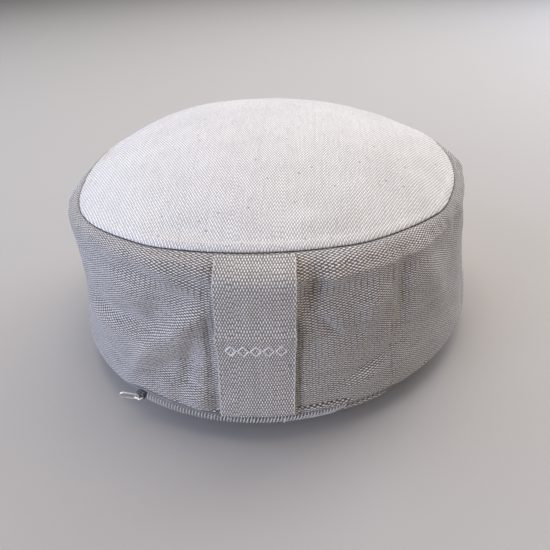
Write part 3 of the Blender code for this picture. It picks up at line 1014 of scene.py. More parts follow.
@dataclass
class TopPanel:
    """The round top panel: crowned over the filling, its edge rolled over the seam.

    Rings are shares of the way out, as (first, last, count). The lip is in mm from the seam.
    """

    form: CushionForm
    finish: bpy.types.Material
    columns: int = 540
    inner_rings: tuple[float, float, int] = (0.02, 0.70, 34)
    outer_rings: tuple[float, float, int] = (0.715, 0.960, 24)
    under_rings: tuple[float, ...] = (0.965, 0.90, 0.78, 0.55, 0.28)
    lip: tuple[tuple[float, float], ...] = (
        (-4.0, 2.75), (-2.2, 1.85), (-0.7, 0.75), (0.1, -0.3), (0.0, -1.0), (-0.7, -1.6),
        (-2.0, -1.8),
    )
    lip_steps: int = 4
    waviness: Unevenness = Unevenness(11, 0.16, 18.0, 60.0)
    gathers: Unevenness = Unevenness(12, 0.24, 5.0, 16.0)
    gathers_fade: float = 6.0
    gathers_share: float = 0.8

    def build(self) -> bpy.types.Object:
        """Turns the panel: crown rings, then the roll as a smooth curve, then the underside.

        Waviness moves the crown square to itself, and gathers, which depend on the seam's own
        point, do so within a few millimetres of the seam.

        Returns:
            The panel.
        """
        form = self.form
        angle = all_round(self.columns)
        out = np.concatenate((np.linspace(*self.inner_rings), np.linspace(*self.outer_rings)))
        crown = form.crown_rings(angle, out, 0.0)
        radius, height = form.seam(angle)
        roll = np.stack((radius, height), -1)[None] + (np.array(self.lip) * MM)[:, None]
        roll = smooth_rows(np.concatenate((crown[-2:], roll)), self.lip_steps)[self.lip_steps + 1:]
        under = form.crown_rings(angle, self.under_rings, form.cloth)
        section = np.concatenate((crown, roll, under))
        points = form.turned(angle, section)

        top = len(crown) + len(roll)
        reach = section[:top, :, 0]
        far = np.maximum((radius[None] - reach) / MM, 0.0)
        relief = self.waviness.at(points[:top]) * window(reach / radius[None], -1.0, 0.93, 0.10)
        gathers = self.gathers.at(form.place(angle, radius, height))[None]
        relief = relief + gathers * np.exp(-far / self.gathers_fade) * self.gathers_share
        relief[len(crown):] *= np.linspace(1.0, 0.0, len(roll))[:, None]
        points[:top] = pushed(points[:top], -relief * MM)

        flat = with_first(np.stack((points[..., 1], points[..., 0]), -1))
        poles = np.array([[0.0, 0.0, points[k, :, 2].mean()] for k in (0, -1)])
        return add_skin("top_cloth", points, self.finish, flat, poles=poles)


@dataclass
class SideWall:
    """The side band round its filling: one filled drum with a hem over the zip and a closing seam.

    Its upper edge lies off the top panel's roll at loose points, and close to it where the seam is
    tight, both given in mm from the seam. The hem's points are mm above its edge, and shares of
    the step in to the zip. Grooves are a depth and a half width in mm, and the strap's gutters an
    angle and a depth. Wall rows are stretches of the way down to the hem, with their row counts.
    """

    form: CushionForm
    finish: bpy.types.Material
    columns: int = 600
    closing_seam: float = 33.6
    under_rings: tuple[float, ...] = (0.38, 0.60, 0.76, 0.86, 0.93, 0.965)
    loose_points: tuple[tuple[float, float], ...] = (
        (-2.1, -2.35), (0.4, -2.35), (0.7, -1.6), (1.7, -1.1),
    )
    tight_points: tuple[tuple[float, float], ...] = (
        (-2.1, -2.35), (0.35, -2.2), (0.5, -1.0), (1.3, -0.4),
    )
    tight_window: tuple[float, float, float] = (-165.0, -42.0, 22.0)
    wall_rows: tuple[tuple[float, float, int], ...] = (
        (0.0, 0.16, 26), (0.16, 0.92, 72), (0.92, 1.0, 26),
    )
    wall_top: float = 0.975
    hem_margin: float = 0.017
    hem_step: float = 0.0016
    hem_line: Curve = Curve(
        (
            (-36.0, 0.092), (-32.0, 0.104), (-28.0, 0.127), (-16.0, 0.110), (0.0, 0.096),
            (12.0, 0.088), (36.0, 0.086),
        )
    )
    hem_points: tuple[tuple[float, float], ...] = (
        (1.2, 0.0), (0.5, 0.08), (0.1, 0.45), (0.0, 1.0), (0.0, 1.0),
    )
    zip_window: tuple[float, float, float] = (-35.65, 35.65, 2.0)
    zip_rows: tuple[float, ...] = (0.85, 0.65, 0.45, 0.3, 0.15, 0.0)
    tuck_line: Curve = Curve(((8.0, 0.134), (14.0, 0.130), (20.0, 0.120), (24.0, 0.100)))
    tuck_window: tuple[float, float, float] = (9.0, 22.5, 3.0)
    tuck_groove: tuple[float, float] = (2.3, 1.1)
    seam_groove: tuple[float, float] = (1.1, 0.9)
    strap_lean: float = 0.9
    strap_window: tuple[float, float, float] = (-9.0, 10.0, 2.5)
    strap_gutters: tuple[tuple[float, float], ...] = ((-9.15, 2.4), (9.2, 1.5))
    gutter_half_width: float = 1.4
    fine: tuple[Fold, ...] = FINE_FOLDS
    waviness: Unevenness = Unevenness(21, 0.30, 14.0, 50.0)
    top_gathers: Unevenness = Unevenness(22, 0.42, 7.0, 22.0)
    foot_gathers: Unevenness = Unevenness(23, 0.30, 8.0, 26.0)
    cloth_round: float = 1.004

    def hem(self, angle: np.ndarray) -> np.ndarray:
        """The hem's edge as a share of the wall's height."""
        ends = self.hem_line.rows
        return self.hem_line.at(np.clip(angle, ends[0][0], ends[-1][0]))

    def build(self) -> bpy.types.Object:
        """Turns the drum: under the top panel, down the wall, over the hem and under to the base.

        Returns:
            The drum.
        """
        form = self.form
        angle = around(all_round(self.columns, self.closing_seam), 0.0)
        row = angle[None]
        over = form.cloth + form.gap
        lid = form.crown_rings(angle, self.under_rings, over)
        tight = window(row, *self.tight_window)[..., None]
        loose, close = (np.array(p)[:, None] * MM for p in (self.loose_points, self.tight_points))
        shoulder = np.stack(form.seam(angle), -1)[None] + loose * (1 - tight) + close * tight

        hem = self.hem(angle)[None]
        parts = [np.linspace(a, b, count, endpoint=b == 1.0) for a, b, count in self.wall_rows]
        fall = np.concatenate(parts)[:, None]
        share = self.wall_top + (hem + self.hem_margin - self.wall_top) * fall
        wall = np.stack(form.wall(row, share), -1)

        inset = self.hem_step * window(row, *self.zip_window)
        edge = [
            self.off(row, hem + up * MM / form.span, -inset * deep) for up, deep in self.hem_points
        ]
        behind = [self.off(row, hem * down, -inset) for down in self.zip_rows]
        rest = np.full(self.columns, form.rest_radius)
        radii = (form.base_seam(angle) - form.base_seam_inset, rest, 0.5 * rest)
        floor = form.base_rings(angle, radii, (over, over, over))
        section = np.concatenate((lid, shoulder, wall, *edge, *behind, floor))
        points = form.turned(angle, section)

        first = len(lid) + len(shoulder)
        last = first + len(wall)
        relief = self.relief(row, share, wall, points[first:last])
        points[first:last] = pushed(points[first:last], -relief)

        along_u = self.cloth_round * np.arange(self.columns + 1) / self.columns
        down_v = -run_along(section)[:, None]
        pattern = np.stack(np.broadcast_arrays(along_u[None], down_v), -1)
        poles = np.array([[0.0, 0.0, points[0, :, 2].mean()], [0.0, 0.0, over]])
        return add_skin("wall_cloth", points, self.finish, pattern, poles=poles)

    def off(self, angle: np.ndarray, share: np.ndarray, out: np.ndarray) -> np.ndarray:
        """One row of (radius, height) that stands off the wall."""
        spot = self.form.off_wall(angle, share, out)
        return np.stack((np.hypot(spot[..., 0], spot[..., 1]), spot[..., 2]), -1)

    def relief(
        self, angle: np.ndarray, share: np.ndarray, wall: np.ndarray, points: np.ndarray
    ) -> np.ndarray:
        """The cloth's own creases: fine folds, waviness, and gathers that fade from both seams.

        All of it is held down beneath the strap. The closing seam, the tuck over the zip and the
        gutters beside the strap are narrow grooves, bells across their lines.

        Args:
            angle: degrees, 1 x columns.
            share: shares of the wall's height, rows x columns.
            wall: radius and height, rows x columns x 2.
            points: the wall's points.

        Returns:
            Metres outwards.
        """
        span, arc = self.form.span / MM, ARC_RADIUS / MM
        ring = self.form.place(angle, np.full(angle.shape, ARC_RADIUS), np.zeros(angle.shape))
        from_top = (1 - share) * span
        from_hem = (share - self.hem(angle)) * span
        creases = self.form.folded(angle, wall[..., 1], self.fine) / MM
        wavy = self.waviness.at(points)
        puckers = self.top_gathers.at(ring) * np.exp(-np.maximum(from_top - 3.0, 0.0) / 9.0)
        foot_puckers = self.foot_gathers.at(ring) * np.exp(-np.maximum(from_hem, 0.0) / 8.0)
        ends = window(share, 0.0, 0.965, 0.03)
        deep, wide = self.seam_groove
        seam = -deep * bell(np.radians(around(angle, self.closing_seam)) * arc / wide)
        deep, wide = self.tuck_groove
        line = self.tuck_line.rows
        tuck_share = self.tuck_line.at(np.clip(angle, line[0][0], line[-1][0]))
        tuck = -deep * bell((share - tuck_share) * span / wide) * window(angle, *self.tuck_window)
        open_wall = 1 - window(angle, *self.strap_window)
        gutters = sum(
            -deep
            * bell(np.radians(angle - at - self.strap_lean * share) * arc / self.gutter_half_width)
            for at, deep in self.strap_gutters
        )
        loose = open_wall * (creases + wavy + puckers + foot_puckers)
        return MM * (loose + seam + tuck + gutters) * ends


@dataclass
class BasePanel:
    """The round base panel: flat where the cushion rests, turned up to the base seam.

    Lifts are shares of the cloth's thickness over the underside, row by row.
    """

    form: CushionForm
    finish: bpy.types.Material
    columns: int = 240
    rim_inset: float = 0.0020
    lifts: tuple[float, ...] = (1.0, 1.0, 1.0, 0.85, 0.5, 0.1, 0.0, 0.0, 0.0, 0.0)
    steps: int = 3

    def build(self) -> bpy.types.Object:
        """Turns the panel: its upper side out to the rim, and its underside back to the middle.

        Returns:
            The panel.
        """
        form = self.form
        angle = all_round(self.columns)
        seam = form.base_seam(angle)
        inner, rim = seam - form.base_seam_inset, seam - self.rim_inset
        flat = np.full(self.columns, form.rest_radius)
        upper = (0.5 * flat, flat, inner, rim - 1.0 * MM, rim)
        lower = (rim, inner, 0.5 * (inner + flat), flat, 0.6 * flat)
        lifts = tuple(lift * form.cloth for lift in self.lifts)
        section = smooth_rows(form.base_rings(angle, (*upper, *lower), lifts), self.steps)
        section[..., 1] = np.maximum(section[..., 1], 0.0)
        points = form.turned(angle, section)
        poles = np.array([[0.0, 0.0, form.cloth], [0.0, 0.0, 0.0]])
        return add_skin("base_cloth", points, self.finish, with_first(points[..., :2]), poles=poles)


@dataclass
class HandleStrap:
    """The flat carrying strap down the front, sewn into the top seam and above the zip.

    Columns count in half widths from its middle, rows in shares of the wall's height. It stands
    off the wall by a line of mm. Its edge bells are (height in mm, column, half width), and its
    rows are stretches of its length, with their counts.
    """

    form: CushionForm
    finish: bpy.types.Material
    thread: bpy.types.Material
    embroidery: bpy.types.Material
    width: float = 0.0486
    thick: float = 0.0028
    end_thick: float = 0.0014
    lean: float = 0.9
    low: float = 0.110
    high: float = 0.984
    stand_off: Curve = Curve(
        (
            (0.00, 0.5), (0.12, 0.5), (0.26, 0.5), (0.36, 1.5), (0.46, 1.0), (0.55, 2.4),
            (0.60, 4.1), (0.63, 5.2), (0.68, 1.2), (0.72, 0.6), (0.84, 2.4), (0.87, 2.5),
            (0.96, 1.0), (1.00, 0.5),
        )
    )
    front_columns: int = 64
    back_columns: int = 16
    rows: tuple[tuple[float, float, int], ...] = ((0.0, 0.06, 14), (0.06, 1.0, 150))
    edge_bells: tuple[tuple[float, float, float], ...] = ((0.16, 0.955, 0.03), (-0.22, 0.90, 0.014))
    edge_round: tuple[float, float] = (0.965, 0.036)
    foot_round: float = 0.012
    waviness: Unevenness = Unevenness(31, 0.16, 9.0, 30.0)
    stitch_rows: tuple[float, float] = (-0.966, 0.966)
    stitch_length: float = 0.0022
    stitch_radius: float = 0.00032
    stitch_lean: float = 0.012
    diamond_row: float = 0.545
    diamond_count: int = 5
    diamond_size: tuple[float, float] = (0.135, 0.034)
    diamond_pitch: float = 2.3
    diamond_thread: float = 0.00042
    diamond_lift: float = 0.00022

    def spot(self, column: np.ndarray, row: np.ndarray, lift: np.ndarray) -> np.ndarray:
        """Points of the strap's body, lifted by metres over its back."""
        middle = self.lean * row
        radius = self.form.wall(middle, row)[0]
        angle = middle + np.degrees(column * self.width / 2 / radius)
        return self.form.off_wall(angle, row, MM * self.stand_off.at(row) + lift)

    def build(self) -> bpy.types.Object:
        """Sweeps the strap's section up the wall.

        The section is flat with round edges, a little raised along both edges where the cloth is
        folded in, and both ends thin out. Its columns crowd towards the edges by a sine.

        Returns:
            The strap.
        """
        front, back, crowd = self.front_columns, self.back_columns, 0.55
        side = np.linspace(-1, 1, front)
        face = np.sin(side * math.pi / 2 * crowd) / math.sin(math.pi / 2 * crowd)
        column = np.concatenate((face, np.linspace(0.985, -0.985, back)))[None]
        upper = np.concatenate((np.ones(front), np.zeros(back)))[None]
        parts = [np.linspace(a, b, count, endpoint=b == 1.0) for a, b, count in self.rows]
        row = (self.low + (self.high - self.low) * np.concatenate(parts))[:, None]
        end = window(row, 0.0, 0.955, 0.05)
        thick = self.end_thick + (self.thick - self.end_thick) * end
        start, wide = self.edge_round
        outside = ((np.abs(column) - start) / wide).clip(0.0, 1.0)
        rise = np.clip((row - self.low) / self.foot_round, 0.02, 1.0)
        body = np.sqrt(np.maximum(1 - outside**2, 0.0)) * np.sqrt(1 - (1 - rise) ** 2)
        edges = sum(
            high * MM * bell((np.abs(column) - at) / wide) for high, at, wide in self.edge_bells
        )
        lift = 0.5 * thick * (1 - body) + upper * (thick * body + edges * end)
        points = self.spot(column, row, lift)
        points = pushed(points, -(self.waviness.at(points) * MM * upper * end))
        run = run_along(points[:, :front])[:, None]
        pattern = np.stack(np.broadcast_arrays(run, with_first(column) * self.width / 2), -1)
        return add_skin("strap_band", points, self.finish, pattern)

    def outwards(self, column: np.ndarray, row: np.ndarray) -> np.ndarray:
        """The directions that point out of the strap's face."""
        return unit(self.spot(column, row, np.array(MM)) - self.spot(column, row, np.array(0.0)))

    def build_edge_stitches(self) -> bpy.types.Object:
        """Topstitching up both edges: rows of short threads, bowed out of the cloth.

        Each stitch's middle line goes a stitch length up the strap and leans sideways, to and fro.
        It rises by half an ellipse.

        Returns:
            The stitches.
        """
        pitch = self.stitch_length / self.form.span
        rows = np.arange(self.low + pitch, self.high - 0.012, pitch)
        sway = np.where(np.arange(len(rows)) % 2 == 0, self.stitch_lean, -self.stitch_lean)
        s = np.linspace(-1.0, 1.0, 7)
        column = np.array(self.stitch_rows)[:, None, None] + sway[None, :, None] * s
        row = rows[None, :, None] + 0.56 * pitch * s + 0.0 * column
        lift = self.thick + MM * (-0.15 + 0.35 * np.sqrt(1 - 0.95 * s**2)) + 0.0 * column
        path = self.spot(column, row, lift).reshape(-1, len(s), 3)
        up = self.outwards(column, row).reshape(-1, len(s), 3)
        radius = self.stitch_radius * np.sqrt(1 - 0.85 * s**2) * np.ones((len(path), 1))
        return add_skin("strap_edge_stitches", tube(path, up, radius, 6), self.thread)

    def build_diamonds(self) -> bpy.types.Object:
        """A plain embroidered row of diamonds: threads round outlines where |x| + |y| is 1.

        Returns:
            The outlines.
        """
        turn = np.arange(40) / 40
        x = 1 - 4 * np.abs((turn + 0.5) % 1.0 - 0.5)
        y = 1 - 4 * np.abs((turn + 0.25) % 1.0 - 0.5)
        half_wide, half_high = self.diamond_size
        places = np.arange(self.diamond_count) - (self.diamond_count - 1) / 2
        column = (self.diamond_pitch * half_wide * places)[:, None] + half_wide * x
        row = self.diamond_row + half_high * y + 0.0 * column
        path = self.spot(column, row, np.array(self.thick + self.diamond_lift))
        up = self.outwards(column, row)
        points = tube(path, up, self.diamond_thread, 8, closed=True, flat=0.7)
        return add_skin("strap_diamonds", points, self.embroidery, ends=Ends.JOINED)

    def build_loose_thread(self) -> bpy.types.Object:
        """A thread end that hangs out under the strap's lower edge, thinner to its tip."""
        s = np.linspace(0.0, 1.0, 12)
        column = 0.70 + 0.03 * np.sin(4.0 * s)
        row = self.low + 0.02 - 0.072 * s
        path = self.spot(column, row, (1.6 + 2.2 * s * (1.5 - s)) * MM)
        up = self.outwards(column, row)
        points = tube(path, up, (0.42 - 0.2 * s) * MM, 8)
        return add_skin("strap_thread_end", points, self.thread)


@dataclass
class FrontZip:
    """The zip along the front of the base seam: tape, coil, slider and pull."""

    form: CushionForm
    wall: SideWall
    tape_finish: bpy.types.Material
    coil_finish: bpy.types.Material
    metal_finish: bpy.types.Material
    # The slider's nickel, darker than the bail and pull: painted shade
    slider_painted_shade: bpy.types.Material
    cover_finish: bpy.types.Material
    tape_thick: float = 0.0008
    tape_ends: tuple[float, float] = (-33.75, 33.75)
    tape_columns: int = 12
    tape_wide: float = 0.0125
    coil_ends: tuple[float, float] = (-27.4, 33.0)
    coil_line: Curve = Curve(((-36.0, 0.112), (-18.0, 0.074), (0.0, 0.068), (36.0, 0.067)))
    ribs_end: float = 20.0
    rib_pitch: float = 0.0021
    rib_drop: float = 0.0012
    rib_reach: float = 0.0047
    rib_slant: float = 0.0014
    rib_radius: float = 0.00056
    cord_radius: float = 0.0013
    cord_lift: float = 0.0009
    slider_size: tuple[float, float, float] = (0.0080, 0.0036, 0.0056)
    slider_power: float = 0.45
    bail_wire: float = 0.0006
    bail_reach: float = 0.0028
    bail_height: float = 0.0030
    bail_root: float = 0.0004
    bail_dip: float = 0.00035
    pull_wire: float = 0.00065
    pull_length: float = 0.0128
    pull_width: float = 0.0048
    pull_hang: tuple[float, float, float] = (-0.95, -0.10, 0.27)

    def line(
        self, angle: np.ndarray, out: np.ndarray | float, rise: np.ndarray | float = 0.0
    ) -> np.ndarray:
        """Points on the zip's line, or beside it.

        Args:
            angle: degrees from the front.
            out: metres out from the tape.
            rise: metres up the wall from the line.

        Returns:
            Points, ... x 3.
        """
        share = np.maximum(self.coil_line.at(angle) + rise / self.form.span, 0.0)
        lift = -self.wall.hem_step + self.form.gap + self.tape_thick + out
        return self.form.off_wall(angle, share, lift)

    def build_tape(self) -> bpy.types.Object:
        """The tape: a thin closed band that follows the wall between the base seam and the hem.

        Returns:
            The tape.
        """
        angle = np.linspace(*self.tape_ends, 220)[:, None]
        hem = self.wall.hem(angle)
        count = self.tape_columns
        loop = np.concatenate((np.linspace(0.0, 1.0, count), np.linspace(1.0, 0.0, count)))[None]
        layer = np.concatenate((np.ones(count), np.zeros(count)))[None]
        share = np.minimum(loop * hem, hem - 0.006)
        lift = -self.wall.hem_step + self.form.gap + layer * self.tape_thick
        points = self.form.off_wall(angle, share, lift)
        along, wide = np.radians(angle) * ARC_RADIUS, with_first(loop) * self.tape_wide
        pattern = np.stack(np.broadcast_arrays(along, wide), -1)
        return add_skin("zip_tape_band", points, self.tape_finish, pattern)

    def build_coil(self) -> bpy.types.Object:
        """The coil: bowed ribs side by side that all lean along the zip.

        Each rib's middle line is a bow: out from the tape by a half ellipse over its length, and it
        leans along the zip with its height. Its radius falls to little at both ends.

        Returns:
            The ribs.
        """
        run = math.radians(self.ribs_end - self.coil_ends[0]) * ARC_RADIUS
        turns = np.linspace(self.coil_ends[0], self.ribs_end, int(run / self.rib_pitch) + 1)
        ahead = unit(self.line(turns + 0.4, 0.0) - self.line(turns - 0.4, 0.0))
        s = np.linspace(-1.0, 1.0, 13)
        fade = np.clip((self.ribs_end - turns) / 2.5, 0.35, 1.0)[:, None]
        out = (0.5 + 1.5 * fade * np.sqrt(1 - 0.97 * s**2)) * MM
        path = self.line(turns[:, None], out, -self.rib_drop - self.rib_reach * s)
        path = path + ahead[:, None] * (-self.rib_slant * s)[:, None]
        radius = self.rib_radius * np.sqrt(1 - 0.92 * s**2) * np.ones((len(turns), 1))
        hint = np.broadcast_to(ahead[:, None], path.shape)
        return add_skin("zip_coil_ribs", tube(path, hint, radius, 8), self.coil_finish)

    def build_cord(self) -> bpy.types.Object:
        """The covered run of the coil: a smooth cord from the last ribs to the zip's end.

        Returns:
            The cord.
        """
        turns = np.linspace(self.ribs_end - 1.0, self.coil_ends[1], 90)
        s = np.linspace(0.0, 1.0, 90)
        path = self.line(turns, self.cord_lift + 0.0 * s, -self.rib_drop * (1.0 + 0.3 * s))
        up = unit(self.line(turns, MM) - self.line(turns, 0.0))
        radius = self.cord_radius * np.minimum(1.0, np.minimum(14 * s, 5 * (1 - s)) + 0.12)
        sides = 12
        round_v = np.linspace(0.0, 0.0081, sides + 1)
        pattern = np.stack(np.meshgrid(np.radians(turns) * ARC_RADIUS, round_v, indexing="ij"), -1)
        return add_skin("zip_coil_cord", tube(path, up, radius, sides), self.cover_finish, pattern)

    def axes(self) -> tuple[np.ndarray, np.ndarray, np.ndarray, np.ndarray]:
        """The slider's middle on the tape, and its directions along the zip, outwards and up."""
        past_coil = (self.slider_size[0] / 2 + self.form.gap) / self.form.foot_radius
        angle = self.coil_ends[0] - math.degrees(past_coil) - 0.1
        middle = self.line(np.array(angle), 0.0)
        ends = (self.line(np.array(angle + turn), 0.0) for turn in (-1.0, 1.0))
        onwards = unit(next(ends) - next(ends))
        outwards = unit(self.line(np.array(angle), MM) - middle)
        return middle, onwards, outwards, unit(np.cross(onwards, outwards))

    def build_slider(self) -> bpy.types.Object:
        """The slider: a rounded body, narrower ahead, waisted between its two plates.

        A point at longitude a and latitude b sits where a rounded box's does: each axis has the
        sine or cosine to a small power. The waist draws its sides in at half its depth.

        Returns:
            The body.
        """
        middle, onwards, outwards, upwards = self.axes()
        length, depth, height = self.slider_size
        a = np.linspace(-math.pi, math.pi, 49)[:-1][None]
        b = np.linspace(-math.pi / 2, math.pi / 2, 27)[1:-1, None]
        round_both = (np.cos(b), np.sin(b), np.cos(a), np.sin(a))
        up, over, ahead, aside = (np.sign(v) * np.abs(v) ** self.slider_power for v in round_both)
        x, y, z = up * ahead, over * np.ones_like(a), up * aside
        narrow = 1.0 - 0.16 * (x + 1)
        waist = 1.0 - 0.22 * bell(y / 0.28)
        centre = middle + outwards * (self.form.gap + depth / 2)
        points = (
            centre
            + onwards * (x * length / 2 * waist)[..., None]
            + outwards * (y * depth / 2)[..., None]
            + upwards * (z * height / 2 * narrow * waist)[..., None]
        )
        poles = np.array([centre - outwards * depth / 2, centre + outwards * depth / 2])
        return add_skin("zip_slider_body", points, self.slider_painted_shade, poles=poles)

    def build_bail(self) -> bpy.types.Object:
        """The bail: a wire arch on the slider's face, half a turn of an ellipse with a small dip.

        Returns:
            The bail.
        """
        middle, onwards, outwards, upwards = self.axes()
        depth = self.slider_size[1]
        face = middle + outwards * (self.form.gap + depth / 2) + outwards * depth / 2
        turn = np.linspace(0.0, math.pi, 33)[:, None]
        rise = self.bail_height * np.minimum(1.0, 1.35 * np.sin(turn))
        rise = rise - self.bail_dip * bell((turn - math.pi / 2) / 0.25)
        along = onwards * self.bail_reach * np.cos(turn)
        arch = face - along + outwards * (rise - self.bail_root)
        points = tube(arch, np.broadcast_to(upwards, arch.shape), self.bail_wire, 12)
        return add_skin("zip_bail", points, self.metal_finish)

    def build_pull(self) -> bpy.types.Object:
        """The pull: a long wire loop through the bail, two half circles joined by straights.

        Returns:
            The loop.
        """
        middle, _, outwards, upwards = self.axes()
        inside_bail = (self.bail_height - self.bail_root - self.bail_wire) / 2
        eye = middle + outwards * (self.form.gap + self.slider_size[1] + inside_bail)
        reach = unit(np.array(self.pull_hang))
        across = unit(upwards - reach * (upwards @ reach))
        end_radius = self.pull_width / 2
        turn = np.radians(np.linspace(90.0, 270.0, 17))
        near = np.stack((np.cos(turn), np.sin(turn)), -1) * end_radius
        far = -near + (self.pull_length - self.pull_width, 0.0)
        flat = np.concatenate((near, far))
        path = eye + reach * (flat[:, :1] + end_radius) + across * flat[:, 1:]
        plane = np.broadcast_to(np.cross(reach, across), path.shape)
        points = tube(path, plane, self.pull_wire, 12, closed=True)
        return add_skin("zip_pull_loop", points, self.metal_finish, ends=Ends.JOINED)


@dataclass(frozen=True)
class Lamp:
    """A soft square light: degrees round from the front and above the floor, watts and colour."""

    name: str
    azimuth: float
    elevation: float
    power: float
    tone: str


def facing(azimuth: float, elevation: float) -> tuple[np.ndarray, np.ndarray, np.ndarray]:
    """The directions of a thing that looks at the cushion.

    Args:
        azimuth: degrees round from the front.
        elevation: degrees above the floor.

    Returns:
        Its right, up and back.
    """
    turn, tip = math.radians(azimuth), math.radians(elevation)
    level = math.cos(tip)
    back = np.array([math.sin(turn) * level, -math.cos(turn) * level, math.sin(tip)])
    right = np.array([math.cos(turn), math.sin(turn), 0.0])
    return right, np.cross(back, right), back


def put(
    name: str, data: bpy.types.ID, axes: tuple[np.ndarray, ...], place: np.ndarray
) -> bpy.types.Object:
    """Puts a camera or a light in the scene.

    Args:
        name: its name.
        data: the camera or light.
        axes: its right, up and back.
        place: where it stands.

    Returns:
        The object.
    """
    matrix = np.identity(4)
    matrix[:3] = np.stack((*axes, place), 1)
    thing = bpy.data.objects.new(name, data)
    thing.matrix_world = Matrix(matrix.tolist())
    bpy.context.scene.collection.objects.link(thing)
    return thing


@dataclass
class Studio:
    """The floor, the soft lights and the camera."""

    azimuth: float = 4.3033
    pitch: float = 33.1193
    roll: float = -2.202
    distance: float = 0.5389
    aim: tuple[float, float] = (0.0020, 0.0225)
    focal_px: float = 600.0
    frame_px: float = 550.0
    sensor_mm: float = 36.0
    clip_start: float = 0.01
    floor_half: float = 6.0
    floor_height: float = -0.0002
    lamp_distance: float = 1.8
    lamp_aim: float = 0.08
    lamp_size: float = 1.0
    sky_strength: float = 0.12
    lamps: tuple[Lamp, ...] = table(
        Lamp,
        ("low_left", -45.0, 10.0, 19.8, "#CEDDFF"),
        ("low_front", 0.0, 10.0, 3.5, "#E2E9FF"),
        ("low_right", 45.0, 10.0, 2.4, "#FFD9A0"),
        ("right", 90.0, 22.0, 6.4, "#F8F9FF"),
        ("low_back_right", 135.0, 10.0, 10.0, "#D3E3FF"),
        ("back", 180.0, 30.0, 4.2, "#ECF3FF"),
        ("back_left", -135.0, 32.0, 3.6, "#EDF4FF"),
        ("left", -90.0, 29.0, 9.0, "#C4D9FF"),
        ("front_left", -45.0, 32.0, 6.0, "#C6D6FF"),
        ("back_right", 135.0, 32.0, 12.0, "#ECF1FF"),
        ("high_back_left", -150.0, 58.0, 5.4, "#FBFEFF"),
        ("high_left", -90.0, 58.0, 1.6, "#F1F5FF"),
        ("high_back_right", 150.0, 58.0, 7.6, "#FFF4E6"),
        ("ceiling", 0.0, 90.0, 11.0, "#FFF4EC"),
    )

    def build_floor(self) -> None:
        """Lays a flat square of floor, a coarse grid of points."""
        side = np.linspace(-self.floor_half, self.floor_half, 9)
        x, y = np.meshgrid(side, side)
        points = np.stack((x, y, np.full_like(x, self.floor_height)), -1)
        floor = add_skin("floor", points, StudioFloor().make(), wrap=False, ends=Ends.OPEN)

    def light(self) -> None:
        """Soft daylight from behind and from the left, and an even glow from the whole room."""
        world = bpy.data.worlds.new("soft_room")
        world.use_nodes = True
        glow = world.node_tree.nodes["Background"].inputs
        glow["Color"].default_value = linear(Tone.SKY)
        glow["Strength"].default_value = self.sky_strength
        bpy.context.scene.world = world
        bpy.context.scene.view_settings.view_transform = "Standard"
        for lamp in self.lamps:
            axes = facing(lamp.azimuth, lamp.elevation)
            data = bpy.data.lights.new(lamp.name, "AREA")
            data.shape = "SQUARE"
            data.size = self.lamp_size
            data.energy = lamp.power
            data.color = linear(lamp.tone)[:3]
            spot = axes[2] * self.lamp_distance + np.array([0.0, 0.0, self.lamp_aim])
            put(lamp.name, data, axes, spot)

    def place_camera(self) -> None:
        """Puts the camera at the photograph's angle and distance."""
        right, up, back = facing(self.azimuth, self.pitch)
        cos, sin = math.cos(math.radians(self.roll)), math.sin(math.radians(self.roll))
        eye = right * self.aim[0] + np.array([0.0, 0.0, self.aim[1]]) + back * self.distance
        data = bpy.data.cameras.new("camera")
        data.sensor_width = self.sensor_mm
        data.lens = self.sensor_mm * self.focal_px / self.frame_px
        data.clip_start = self.clip_start
        axes = (cos * right + sin * up, -sin * right + cos * up, back)
        bpy.context.scene.camera = put("camera", data, axes, eye)

    def build(self) -> None:
        """Sets up the floor, the lights and the camera."""
        self.build_floor()
        self.light()
        self.place_camera()


def settle(piece: bpy.types.Object, slot: str, *nodes: str) -> None:
    """Lets a piece ride on the cushion and hides the solids it stands for."""
    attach(piece, "root")
    if nodes:
        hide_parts(*nodes)
    LOG.info("%s: %d faces", piece.name, len(piece.data.polygons))


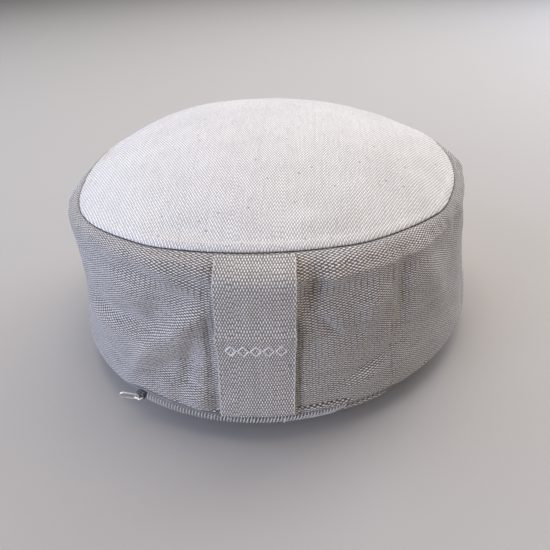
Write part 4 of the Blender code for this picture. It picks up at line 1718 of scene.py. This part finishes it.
def main() -> None:
    """Builds the cushion piece by piece, then the studio."""
    logging.basicConfig(level=logging.INFO, format="%(name)s %(message)s")
    form = CushionForm()
    wall_canvas = Canvas(
        "wall_canvas", 1.98, 0.81, 0.80, Tone.WALL_LIGHT, Tone.WALL_GAP_PAINTED_SHADE, 0.48, sheen=0.5
    ).make()
    # The top's canvas is the wall's cloth with lighter floats and paler gaps: painted light on the
    # crown
    top_canvas_painted_light = Canvas(
        "top_canvas_painted_light", 1.65, 0.9, 0.26, Tone.TOP_FLOAT_PAINTED_LIGHT, Tone.TOP_GAP_PAINTED_LIGHT_AND_SHADE, 0.9, streaks=0.06
    ).make()
    # The strap's canvas is lighter than the wall's: painted light for its floats lit from above
    strap_canvas_painted_light = Canvas(
        "strap_canvas_painted_light", 2.0, 0.86, 0.60, Tone.STRAP_FLOAT_PAINTED_LIGHT, Tone.STRAP_GAP_PAINTED_LIGHT_AND_SHADE, 0.85, 0.12, rows=0.25
    ).make()
    sewing = Filament("sewing_cotton", Tone.THREAD, 0.7, 0.2).make()

    wall = SideWall(form, wall_canvas)
    drum = wall.build()
    settle(drum, "canvas", "side_wall")

    top = TopPanel(form, top_canvas_painted_light).build()
    settle(top, "canvas", "top_panel")

    base = BasePanel(form, wall_canvas).build()
    settle(base, "canvas", "base_panel")

    embroidery = Filament("embroidery_cotton", Tone.EMBROIDERY, 0.6, 0.2).make()
    handle = HandleStrap(form, strap_canvas_painted_light, sewing, embroidery)
    strap = handle.build()
    settle(strap, "strap", "handle_strap")
    trims = [handle.build_edge_stitches(), handle.build_diamonds(), handle.build_loose_thread()]
    for trim in trims:
        settle(trim, "strap")

    zipper = FrontZip(
        form,
        wall,
        WovenTape().make(),
        Filament("polyester_coil", Tone.COIL, 0.45).make(),
        NickelPlate("nickel_plated_zinc", Tone.NICKEL).make(),
        # The same nickel, darkened as painted shade for the slider body
        NickelPlate("nickel_plated_zinc_painted_shade", Tone.NICKEL_PAINTED_SHADE).make(),
        wall_canvas,
    )
    tape = zipper.build_tape()
    settle(tape, "tape", "zip_tape")
    settle(zipper.build_coil(), "coil", "zip_coil")
    settle(zipper.build_cord(), "coil")
    settle(zipper.build_slider(), "metal", "zip_slider")
    settle(zipper.build_bail(), "metal")
    settle(zipper.build_pull(), "metal", "zip_pull")

    Studio().build()


if __name__ == "__main__":
    main()
